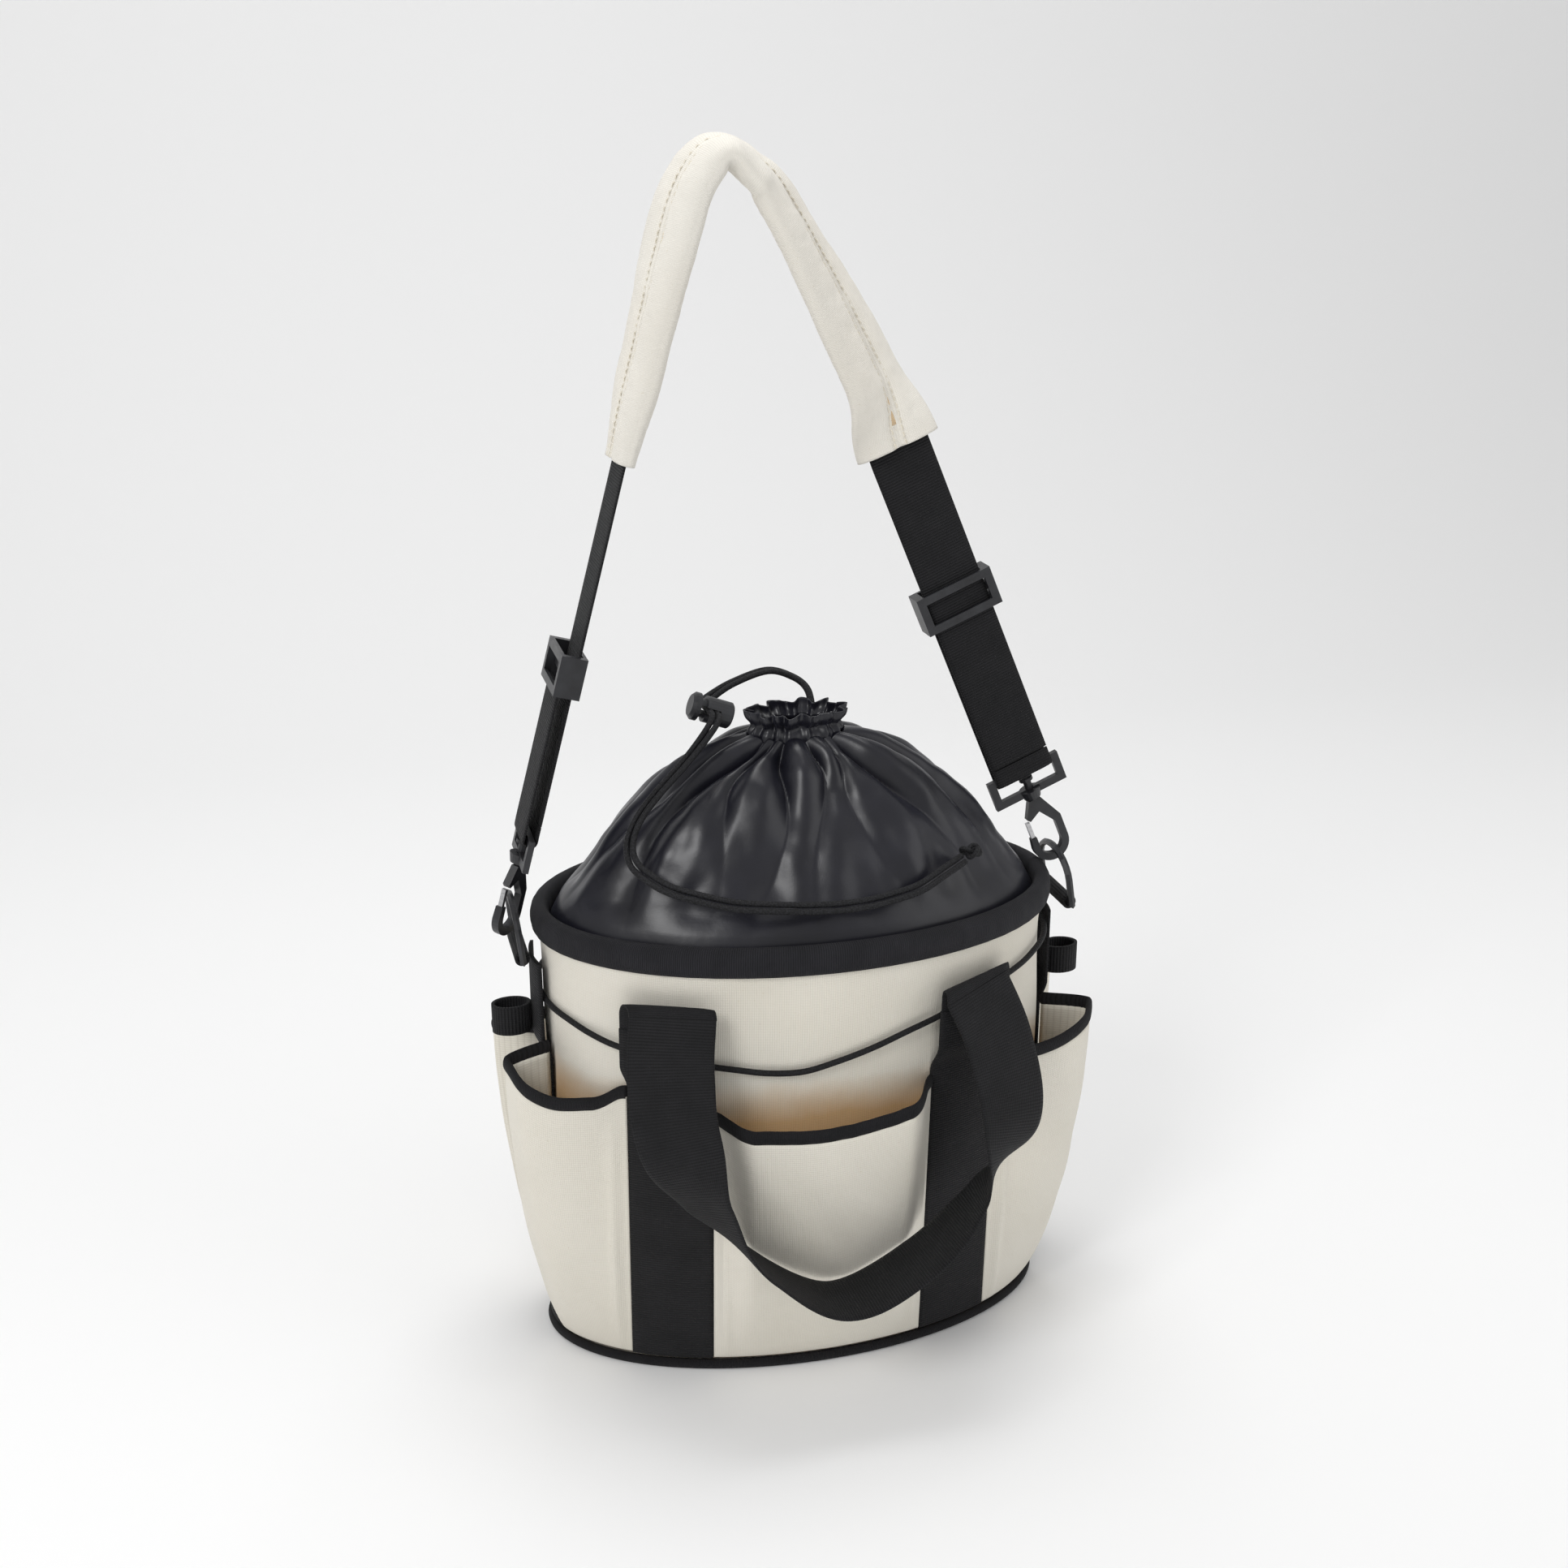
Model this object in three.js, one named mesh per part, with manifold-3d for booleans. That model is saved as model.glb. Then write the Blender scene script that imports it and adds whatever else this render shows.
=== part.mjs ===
// Garden tool bag: an oval canvas tub with outside pockets, webbing handles, a drawstring hood
// and a clip-on padded shoulder strap. Millimetres, +Z up, origin at the middle of the underside,
// X along the length of the bag, -Y towards its front.
import * as THREE from 'three';
import { mergeVertices } from 'three/addons/utils/BufferGeometryUtils.js';
import Module from 'manifold-3d';

const wasm = await Module();
wasm.setup();

// Tub
const baseHalfLength = 160;
const baseHalfDepth = 83;
const topHalfLength = 159;
const topHalfDepth = 100;
const rimHeight = 280;
const canvas = 2;
const gap = 0.3;
const pipingRadius = 3;
const rimWidth = 12;
const rimFall = 18;
const seamHeight = rimHeight - rimFall;

// Hood and its drawcord
const hoodTop = rimHeight + 111;
const hoodSpring = rimHeight + 1;
const hoodNylon = 1.2;
const hoodCurve = 2.6;
const neckShare = 0.2;
const channelRadius = 3.4;
const cordDiameter = 3.6;

// Pockets and webbing
const webWidth = 50;
const webColumn = 13;
const webbing = 2;
const webCentres = [-95, 83];
const sewnHeight = rimHeight - 84;
const riserTop = rimHeight - 34;
const riserStand = 6.5;
const sideStrapWidth = 38;
const pocketFoot = 9;
const pocketBinding = 8;
const pocketSwell = { left: 32, centre: 24, right: 32 };
const bindingGrip = 1.5;
const elasticDiameter = 3.6;

// Shoulder strap
const strapWidth = 38;
const hookWire = 4.8;
const hookLength = 66;
const barRadius = 2.2;
const frameWall = 5;
const padWidth = 52;
const padThickness = 17.5;
const padWall = 1.6;
const foamThickness = 2;
const foamClearance = 1.9;
const sliderWall = 5;
const sliderHeight = 24;
const frameBar = 1.8;
const layerGap = 2 * Math.SQRT2 * frameBar + 2 * gap;
const sides = {
  left: { bar: [-164, rimHeight + 57], lean: 15, slider: 101, padEnd: 222, hookTwist: 230, legTwist: 90,
    ring: [-172, rimHeight - 16], ringLean: -6 },
  right: { bar: [147, rimHeight + 68.5], lean: -23, slider: 122, padEnd: 214, hookTwist: 180, legTwist: 0,
    ring: [175, rimHeight - 16], ringLean: -9 },
};

const group = new THREE.Group();
const turn = THREE.MathUtils.degToRad;
const mix = THREE.MathUtils.lerp;
const ease = THREE.MathUtils.smoothstep;

// Materials
function look(color, roughness, metalness = 0) {
  return () => new THREE.MeshStandardMaterial({ color, roughness, metalness });
}
const creamCanvas = look(0xe6e0cf, 0.9);
const blackWebbing = look(0x161617, 0.8);
const blackNylon = look(0x23242e, 0.4);
const blackPlastic = look(0x2c2d31, 0.45);
const blackCord = look(0x111112, 0.85);
const steel = look(0x9a9a9c, 0.35, 1);
const foam = look(0xd8d8d2, 0.95);

// Solids -------------------------------------------------------------------------------------
function closed(geometry) {
  geometry.deleteAttribute('normal');
  geometry.deleteAttribute('uv');
  geometry.clearGroups();
  const welded = mergeVertices(geometry, 1e-3);
  const kept = [];
  const index = welded.index.array;
  for (let i = 0; i < index.length; i += 3) {
    const [a, b, c] = [index[i], index[i + 1], index[i + 2]];
    if (a !== b && b !== c && c !== a) kept.push(a, b, c);
  }
  welded.setIndex(signedVolume(welded.attributes.position, kept) < 0 ? kept.reverse() : kept);
  welded.computeVertexNormals();
  return welded;
}

function signedVolume(position, index) {
  const [a, b, c] = [new THREE.Vector3(), new THREE.Vector3(), new THREE.Vector3()];
  let total = 0;
  for (let i = 0; i < index.length; i += 3) {
    a.fromBufferAttribute(position, index[i]);
    b.fromBufferAttribute(position, index[i + 1]);
    c.fromBufferAttribute(position, index[i + 2]);
    total += a.dot(b.cross(c)) / 6;
  }
  return total;
}

function remap(geometry, place) {
  const position = geometry.attributes.position;
  for (let i = 0; i < position.count; i++) {
    const point = place(position.getX(i), position.getY(i), position.getZ(i));
    position.setXYZ(i, point[0], point[1], point[2]);
  }
  return closed(geometry);
}

// A sheet of cloth: place(u, v, w) with u and v across the sheet and w through its thickness.
function sheet(acrossSteps, upSteps, place) {
  const box = new THREE.BoxGeometry(1, 1, 1, acrossSteps, upSteps, 1);
  return remap(box, (x, y, z) => place(x + 0.5, y + 0.5, z + 0.5));
}

// A closed section carried round an axis: place(angle, out, up) for each [out, up] of the section.
function hoop(section, steps, place) {
  const core = 1000;
  const profile = [...section, section[0]].map(([out, up]) => new THREE.Vector2(core + out, up));
  return remap(new THREE.LatheGeometry(profile, steps), (x, y, z) =>
    place(Math.atan2(x, z), Math.hypot(x, z) - core, y));
}

function circleSection(radius, count) {
  return Array.from({ length: count }, (_, i) => {
    const angle = (2 * Math.PI * i) / count;
    return [radius * Math.cos(angle), radius * Math.sin(angle)];
  });
}

function toSolid(geometry) {
  const bare = closed(geometry);
  return new wasm.Manifold(new wasm.Mesh({
    numProp: 3,
    vertProperties: new Float32Array(bare.attributes.position.array),
    triVerts: new Uint32Array(bare.index.array),
  }));
}

function fromSolid(solid) {
  const mesh = solid.getMesh();
  const geometry = new THREE.BufferGeometry();
  geometry.setAttribute('position', new THREE.BufferAttribute(new Float32Array(mesh.vertProperties), 3));
  geometry.setIndex(Array.from(mesh.triVerts));
  return closed(geometry);
}

function addTo(parent, name, geometry, material) {
  const mesh = new THREE.Mesh(geometry, material());
  mesh.name = name;
  parent.add(mesh);
  return mesh;
}

const add = (name, geometry, material) => addTo(group, name, geometry, material);

function smoothRoute(points) {
  return new THREE.CatmullRomCurve3(points.map((p) => new THREE.Vector3(...p)), false, 'centripetal');
}

// A flat band along a route. Each route point is [x, y, z] with the way the band's width faces there.
function bandFrame(points, facings) {
  const curve = smoothRoute(points);
  const faces = facings.map((f) => new THREE.Vector3(...f).normalize());
  return (u) => {
    const place = curve.getUtoTmapping(u) * (points.length - 1);
    const first = Math.min(Math.floor(place), points.length - 2);
    const tangent = curve.getTangentAt(u);
    const across = faces[first].clone().lerp(faces[first + 1], place - first);
    across.addScaledVector(tangent, -across.dot(tangent)).normalize();
    return { point: curve.getPointAt(u), across, out: new THREE.Vector3().crossVectors(tangent, across) };
  };
}

function onBand(frame, u, across, out) {
  const { point, across: side, out: normal } = frame(u);
  return point.addScaledVector(side, across).addScaledVector(normal, out).toArray();
}

function band(frame, width, thickness, steps, [from, to] = [0, 1], lift = 0) {
  return sheet(steps, 2, (u, v, w) =>
    onBand(frame, mix(from, to, u), (v - 0.5) * width, (w - 0.5) * thickness + lift));
}

// A soft sleeve round a band, open at both ends.
function sleeve(frame, [from, to], width, thickness, wall, steps, aroundSteps) {
  const outer = Array.from({ length: steps + 1 }, (_, i) => [0, i / steps]);
  const inner = [...outer].reverse().map(([, s]) => [-wall, s]);
  return hoop([...outer, ...inner], aroundSteps, (angle, out, s) => {
    const [c, n] = [Math.cos(angle), Math.sin(angle)];
    const across = (width / 2 + out) * Math.sign(c) * Math.abs(c) ** 0.7;
    const through = (thickness / 2 + out) * Math.sign(n) * Math.abs(n) ** 0.7;
    return onBand(frame, mix(from, to, s), across, through);
  });
}

function cordTube(points, diameter, steps) {
  const outline = new THREE.Shape();
  outline.absarc(0, 0, diameter / 2, 0, 2 * Math.PI);
  return closed(new THREE.ExtrudeGeometry(outline, {
    steps, extrudePath: smoothRoute(points), curveSegments: 4 }));
}

// The tub ------------------------------------------------------------------------------------
function halfSizes(z) {
  const share = Math.min(z / seamHeight, 1);
  return [mix(baseHalfLength, topHalfLength, share), mix(baseHalfDepth, topHalfDepth, share)];
}

// A point on the tub's outside. The angle turns from +X; the front is at -90 degrees.
function onTub(angle, z, off) {
  const [length, depth] = halfSizes(z);
  return [(length + off) * Math.cos(angle), (depth + off) * Math.sin(angle), z];
}

const frontAngle = (x, z) => -Math.acos(x / halfSizes(z)[0]);
const sideAngle = (y, z) => Math.asin(y / halfSizes(z)[1]);

function oval(section, steps, halfLength, halfDepth, height) {
  return hoop(section, steps, (angle, out, up) => [
    (halfLength + out) * Math.cos(angle), (halfDepth + out) * Math.sin(angle), height + up]);
}

function baseGeometry() {
  const height = canvas + 0.5;
  return remap(new THREE.CylinderGeometry(1, 1, height, 48), (x, y, z) => [
    x * (baseHalfLength - canvas - gap), z * (baseHalfDepth - canvas - gap), y + height / 2]);
}

const wallFoot = 2 * pipingRadius + gap;
const wallTop = rimHeight - 3;

function wallGeometry() {
  const heights = [...[0, 1 / 3, 2 / 3, 1].map((share) => mix(wallFoot, seamHeight, share)), wallTop];
  const outer = heights.map((z) => [0, z]);
  const inner = [...outer].reverse().map(([, z]) => [-canvas, z]);
  return hoop([...outer, ...inner], 48, (angle, out, z) => onTub(angle, z, out));
}

// The binding is folded over the wall's top edge.
function rimGeometry() {
  const half = rimWidth / 2;
  const slot = canvas / 2 + 2 * gap;
  const rise = rimFall / 2;
  const slotTop = wallTop + gap - rimHeight;
  const section = [
    [slot, -rise], [half, -rise + 3], [half, rise - 5], [half - 3, rise - 1], [0, rise],
    [-half + 3, rise - 1], [-half, rise - 5], [-half, -rise + 3], [-slot, -rise],
    [-slot, slotTop], [slot, slotTop]];
  return oval(section, 48, topHalfLength - canvas / 2, topHalfDepth - canvas / 2, rimHeight);
}

add('body_wall', wallGeometry(), creamCanvas);
add('base_panel', baseGeometry(), creamCanvas);
add('base_piping', oval(circleSection(pipingRadius, 6), 48, baseHalfLength + pipingRadius - canvas,
  baseHalfDepth + pipingRadius - canvas, pipingRadius), blackWebbing);
add('rim_binding', rimGeometry(), blackWebbing);

// The hood -----------------------------------------------------------------------------------
const hoodHalfLength = topHalfLength - rimWidth / 2 - canvas / 2 - gap;
const hoodHalfDepth = topHalfDepth - rimWidth / 2 - canvas / 2 - gap;
const hoodHeight = (q) => mix(hoodSpring, hoodTop, 1 - q ** hoodCurve);

function hoodGeometry() {
  const rows = 7;
  const outer = Array.from({ length: rows + 1 }, (_, i) => {
    const q = mix(1, neckShare, i / rows);
    return [q, hoodHeight(q)];
  });
  const foot = [[1, rimHeight - rimFall / 2]];
  const inner = [...outer].reverse().map(([q, z]) => [q - hoodNylon / 100, z - hoodNylon]);
  const innerFoot = [[1 - hoodNylon / 100, rimHeight - rimFall / 2]];
  return hoop([...foot, ...outer, ...inner, ...innerFoot], 40, (angle, q, z) => [
    q * hoodHalfLength * Math.cos(angle), q * hoodHalfDepth * Math.sin(angle), z]);
}

add('hood', hoodGeometry(), blackNylon);
add('hood_channel', oval(circleSection(channelRadius, 6), 28, neckShare * hoodHalfLength + 1,
  neckShare * hoodHalfDepth + 1, hoodTop + channelRadius + gap), blackNylon);

// The drawcord leaves the channel at the back right, arches over the neck, goes through the cord
// lock and lies round the left and the front of the hood, both strands side by side.
const lockPlace = new THREE.Vector3(-52, 2, 402);
const lockRadius = 8;
const lockLength = 26;
const lockLean = 20;
const lockPress = 3;
const strandSpacing = cordDiameter + 2 * gap;
const cordRoute = [
  [14, 25, 404], [6, 30, 411], [-10, 30, 416], [-32, 29, 410], [-48, 24, 403],
  [-52, 17, 402], [-52, 2, 402], [-52, -13, 402], [-59, -21, 395], [-74, -27, 380], [-90, -32, 366],
  [-103, -36, 352], [-110, -43, 340], [-110, -53, 331], [-103, -62, 325], [-93, -70, 320],
  [-78, -77, 316], [-58, -84, 312], [-36, -88.5, 310], [-8, -91, 308], [16, -91, 308],
  [37, -88.5, 310], [53, -84, 312], [69, -77, 317], [84, -69, 321]];

function strand(side) {
  const curve = smoothRoute(cordRoute);
  return cordRoute.map((point, i) => {
    const along = curve.getTangent(i / (cordRoute.length - 1));
    const upright = new THREE.Vector3(0, 0, 1).applyAxisAngle(new THREE.Vector3(0, 1, 0), turn(lockLean));
    const sloping = new THREE.Vector3(point[0] * 0.4, point[1] * 0.8, 60).normalize();
    const outward = upright.lerp(sloping, ease(i, 7, 10));
    const across = new THREE.Vector3().crossVectors(along, outward).normalize();
    return new THREE.Vector3(...point).addScaledVector(across, side * strandSpacing / 2).toArray();
  });
}

const cordSteps = 38;
add('drawcord_strand_1', cordTube(strand(1), cordDiameter, cordSteps), blackCord);
add('drawcord_strand_2', cordTube(strand(-1), cordDiameter, cordSteps), blackCord);

function knotGeometry() {
  const knot = new THREE.SphereGeometry(1, 10, 8);
  const radius = cordDiameter * 1.3;
  const end = cordRoute[cordRoute.length - 1];
  return remap(knot, (x, y, z) => [
    end[0] + (x * 1.4 + 1.1) * radius + 3, end[1] + y * radius + 6, end[2] + z * radius + 3]);
}
add('drawcord_knot', knotGeometry(), blackCord);

function lockBodyGeometry() {
  const bore = lockRadius - 2;
  const profile = [[0, -lockLength / 2], [lockRadius - 1, -lockLength / 2], [lockRadius, 1 - lockLength / 2],
    [lockRadius, 4], [bore, 4], [bore, -lockLength / 2 + 3], [0, -lockLength / 2 + 3]];
  const barrel = new THREE.LatheGeometry(profile.map((p) => new THREE.Vector2(...p)), 24);
  barrel.rotateZ(Math.PI / 2);
  return fromSolid(toSolid(barrel).subtract(toSolid(cordWindow(0))));
}

// The slot for both strands, made longer where the part moves along them.
function cordWindow(travel) {
  const slot = new THREE.BoxGeometry(2 * strandSpacing + 1 + travel, 4 * lockRadius, cordDiameter + 1.6);
  return slot.translate(-travel / 2, 0, 0);
}

function lockPlungerGeometry() {
  const radius = lockRadius - 2 - gap;
  const head = lockRadius + 0.5;
  const profile = [[0, -lockLength / 2 + 7], [radius, -lockLength / 2 + 7], [radius, 8], [head, 8],
    [head, 11], [head - 2, 13], [0, 13]];
  const plunger = new THREE.LatheGeometry(profile.map((p) => new THREE.Vector2(...p)), 24);
  plunger.rotateZ(Math.PI / 2);
  return fromSolid(toSolid(plunger).subtract(toSolid(cordWindow(lockPress))));
}

const lock = new THREE.Group();
lock.position.copy(lockPlace);
lock.rotation.y = turn(lockLean);
group.add(lock);
addTo(lock, 'cord_lock_body', lockBodyGeometry(), blackPlastic);
addTo(lock, 'cord_lock_plunger', lockPlungerGeometry(), blackPlastic);

// Webs, handles and pockets, the same on the front and the rear ------------------------------------
const slopeShare = (x) => {
  const [length, depth] = halfSizes(sewnHeight / 2);
  return 1 / Math.hypot(1, (depth / length) * x / Math.sqrt(length ** 2 - x ** 2));
};
const webEdges = (centre) => {
  const half = (webWidth / 2) * slopeShare(centre);
  return [centre - half, centre + half];
};

function webGeometry(centre) {
  const [left, right] = webEdges(centre);
  const foot = wallFoot + 2;
  return sheet(Math.ceil(webWidth / webColumn), 8, (u, v, w) => {
    const z = mix(foot, riserTop, v);
    const off = gap + riserStand * ease(z, sewnHeight, sewnHeight + 18) + w * webbing;
    return onTub(frontAngle(mix(left, right, u), z), z, off);
  });
}

// The handle folds over at the top of its webs and hangs, with a twist in each leg.
const foldHeight = riserTop + 4;
const foldDepth = halfSizes(foldHeight)[1];
const hingeY = (x) => -foldDepth * Math.sqrt(1 - (x / halfSizes(foldHeight)[0]) ** 2) - riserStand - 6;
const handleTops = webCentres.map((x) => [x * 1.02, hingeY(x), foldHeight]);
const pocketReach = baseHalfDepth + pocketSwell.centre + canvas;
const handleStand = 1;
const loopFront = -(pocketReach + webWidth / 2 + handleStand);
const handleRoute = [
  handleTops[0], [-101, 31, -28], [-100, 18, -64], [-86, 8, -104], [-56, 3, -143], [-10, 0, -173],
  [40, 2, -155], [78, 7, -120], [99, 10, -78], [96, 26, -33], handleTops[1],
].map(([x, y, z], i, { length }) => (i % (length - 1) ? [x, loopFront + y, foldHeight + z] : [x, y, z]));
const handleFacings = [
  [1, -0.35, 0], [1, -0.35, 0], [1, -0.5, -0.1], [0.8, -1, -0.3], [0.25, -1, -0.05], [0, -1, 0.12],
  [-0.25, -1, -0.05], [-0.6, -0.9, -0.4], [-0.9, -0.5, -0.2], [-1, -0.4, 0], [-1, -0.4, 0]];
const handleFrame = bandFrame(handleRoute, handleFacings);

function pocketOff(u, z, top, bulge) {
  const open = THREE.MathUtils.clamp((z - pocketFoot) / (top - pocketFoot), 0, 1);
  return gap + bulge(u) * Math.sin((Math.PI / 2) * open) ** 0.7;
}

function pocketGeometry(span, top, bulge, from, to) {
  return sheet(12, 6, (u, v, w) => {
    const z = mix(from(u), to(u), v ** 1.6);
    return onTub(span(u, z), z, pocketOff(u, z, top(u), bulge) + w * canvas);
  });
}

// Binding round a pocket's top edge: a band outside and over the edge.
function bindingGeometry(span, top, bulge) {
  return sheet(12, 1, (u, v, w) => {
    const z = top(u) + gap + v * pocketBinding;
    const off = pocketOff(u, top(u), top(u), bulge);
    return onTub(span(u, z), z, w < 0.5 ? Math.max(off - bindingGrip, gap) : off + canvas + bindingGrip);
  });
}

const strapEdge = (z) => sideAngle(-(sideStrapWidth / 2 + 2 * gap), z);
const webGapAngle = gap / baseHalfDepth;

// Each pocket runs between the edges of the webbing on either side of it.
const pockets = {
  left: {
    span: (u, z) => mix(-Math.PI - strapEdge(z), frontAngle(webEdges(webCentres[0])[0], z) - webGapAngle, u),
    top: (u) => sewnHeight + mix(7, -14, ease(u, 0, 0.6)) + 8 * ease(u, 0.75, 1),
    bulge: (u) => pocketSwell.left * ease(u, -0.02, 0.1) * (1 - 0.97 * ease(u, 0.25, 1)),
  },
  centre: {
    span: (u, z) => mix(frontAngle(webEdges(webCentres[0])[1], z) + webGapAngle,
      frontAngle(webEdges(webCentres[1])[0], z) - webGapAngle, u),
    top: (u) => sewnHeight + mix(-19, -10, u) - 6 * Math.sin(Math.PI * u) ** 2,
    bulge: (u) => pocketSwell.centre * ease(u, -0.02, 0.2) * (1 - ease(u, 0.8, 1.02)),
  },
  right: {
    span: (u, z) => mix(frontAngle(webEdges(webCentres[1])[1], z) + webGapAngle, strapEdge(z), u),
    top: (u) => sewnHeight + mix(-6, 0, ease(u, 0.4, 1)) - 6 * ease(u, 0, 0.3) * (1 - ease(u, 0.3, 0.7)),
    bulge: (u) => pocketSwell.right * ease(u, 0, 0.75) * (1 - ease(u, 0.9, 1.02)),
  },
};

for (const [facing, yaw] of [['front', 0], ['rear', Math.PI]]) {
  const face = new THREE.Group();
  face.rotation.z = yaw;
  group.add(face);
  webCentres.forEach((centre, i) => {
    addTo(face, `${facing}_web_${i + 1}`, webGeometry(centre), blackWebbing);
  });
  addTo(face, `${facing}_handle`, band(handleFrame, webWidth, webbing, 36), blackWebbing);
  for (const [place, { span, top, bulge }] of Object.entries(pockets)) {
    addTo(face, `${facing}_pocket_${place}`,
      pocketGeometry(span, top, bulge, () => pocketFoot, top), creamCanvas);
    addTo(face, `${facing}_pocket_${place}_binding`, bindingGeometry(span, top, bulge), blackWebbing);
  }
}

// The elastic hangs in swags round the tub, behind the risers and the side straps.
// Each row is the angle from the middle of the front and the drop below the rim.
const elasticSwags = [
  [-180, 58], [-150, 48], [-110, 40], [-90, 42], [-67, 49], [-50, 58], [-25, 66], [-10, 72],
  [4, 63], [14, 54], [39, 37], [60, 31], [90, 28], [120, 40], [150, 52], [180, 58]];

function elasticHeight(fromFront) {
  const next = Math.max(elasticSwags.findIndex(([angle]) => angle >= fromFront), 1);
  const [[a, dropA], [b, dropB]] = [elasticSwags[next - 1], elasticSwags[next]];
  return rimHeight - mix(dropA, dropB, (fromFront - a) / (b - a));
}

function elasticGeometry() {
  const points = 48;
  const open = 0.35;
  const route = Array.from({ length: points + 1 }, (_, i) => {
    const fromFront = mix(-180 + open, 180 - open, i / points);
    const z = elasticHeight(fromFront);
    const angle = turn(fromFront - 90);
    return onTub(angle, z, elasticDiameter / 2 + gap);
  });
  return cordTube(route, elasticDiameter, 64);
}
add('elastic_cord', elasticGeometry(), blackCord);

// Side straps, tool loops and rings ------------------------------------------------------------
const strapStand = elasticDiameter + 2 * gap + 0.6;
const keeperInner = barRadius + gap;
const toolLoopHeight = rimHeight - 61;

function sideStrapGeometry(end, top) {
  const half = sideStrapWidth / 2;
  return sheet(4, 6, (u, v, w) => {
    const z = mix(wallFoot + 2, top, v);
    const y = mix(-half, half, u) * end;
    const off = mix(gap, strapStand, ease(z, sewnHeight, sewnHeight + 14)) + w * webbing;
    return [onTub(sideAngle(y, z), z, off)[0] * end, y, z];
  });
}

function keeperGeometry() {
  const section = [[keeperInner, -sideStrapWidth / 2], [keeperInner + webbing, -sideStrapWidth / 2],
    [keeperInner + webbing, sideStrapWidth / 2], [keeperInner, sideStrapWidth / 2]];
  const ring = new THREE.LatheGeometry([...section, section[0]].map((p) => new THREE.Vector2(...p)), 16);
  return closed(ring);
}

function ringGeometry() {
  const half = sideStrapWidth / 2 + barRadius + 2;
  const rise = 33;
  return hoop(circleSection(barRadius, 6), 24, (angle, out, up) => {
    const [c, s] = [Math.cos(angle), Math.sin(angle)];
    const corner = s < 0 ? Math.max(Math.abs(c), Math.abs(s)) : 1;
    const wide = (half + out) * (c / corner);
    return [up, wide, rise / 2 + (rise / 2 + out) * (s / corner)];
  });
}

function toolLoopGeometry(side) {
  const out = 20;
  const width = 18;
  const [low, high] = [toolLoopHeight - width / 2, toolLoopHeight + width / 2];
  const start = Math.max(halfSizes(low)[0], halfSizes(high)[0]) + strapStand + webbing + gap;
  return hoop([[0, -width / 2], [webbing, -width / 2], [webbing, width / 2], [0, width / 2]], 20,
    (angle, off, up) => [side * (start + out / 2 + webbing + (out / 2 + off) * Math.cos(angle)),
      (7 + off) * Math.sin(angle), toolLoopHeight + up]);
}

for (const [side, sign] of [['left', -1], ['right', 1]]) {
  const place = sides[side];
  const ringHeight = place.ring[1];
  add(`side_strap_${side}`, sideStrapGeometry(sign, ringHeight - keeperInner - webbing - gap), blackWebbing);
  add(`tool_loop_${side}`, toolLoopGeometry(sign), blackWebbing);
  const keeper = add(`ring_keeper_${side}`, keeperGeometry(), blackWebbing);
  keeper.position.set(place.ring[0], 0, ringHeight);
  const ring = add(`d_ring_${side}`, ringGeometry(), blackPlastic);
  ring.position.copy(keeper.position);
  ring.rotation.y = turn(place.ringLean);
}

// Shoulder strap -------------------------------------------------------------------------------
// Each end is built in its own frame: z = 0 on the hook's webbing bar, +z up the strap, x across it.
const frameInner = strapWidth + 1.2;

function hookFrameGeometry() {
  const width = frameInner + 2 * frameWall;
  const window = 11;
  const plate = new THREE.Shape();
  plate.moveTo(-width / 2, frameBar);
  plate.lineTo(-width / 2, -window - frameBar - frameWall);
  plate.lineTo(width / 2, -window - frameBar - frameWall);
  plate.lineTo(width / 2, frameBar);
  const hole = new THREE.Path();
  hole.moveTo(-frameInner / 2, -frameBar);
  hole.lineTo(frameInner / 2, -frameBar);
  hole.lineTo(frameInner / 2, -window - frameBar);
  hole.lineTo(-frameInner / 2, -window - frameBar);
  plate.holes.push(hole);
  const flat = new THREE.ExtrudeGeometry(plate, { depth: 2 * frameBar, bevelEnabled: false });
  flat.translate(0, 0, -frameBar);
  flat.rotateX(Math.PI / 2);
  const boss = new THREE.CylinderGeometry(7, 5.5, 6, 20);
  boss.rotateX(Math.PI / 2);
  boss.translate(0, 0, -window - frameBar - frameWall + 1);
  const bore = new THREE.CylinderGeometry(pinRadius + gap, pinRadius + gap, 30, 20);
  bore.rotateX(Math.PI / 2);
  bore.translate(0, 0, -window - frameBar - frameWall);
  return fromSolid(toSolid(flat).add(toSolid(boss)).subtract(toSolid(bore)));
}

const pinRadius = 2.6;
const frameFoot = -11 - frameBar - frameWall;
const hookTop = frameFoot - 3.5;
const eyeHalf = 7.5;
const eyeFoot = -hookLength + hookWire;
const noseHeight = eyeFoot + 15;

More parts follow.
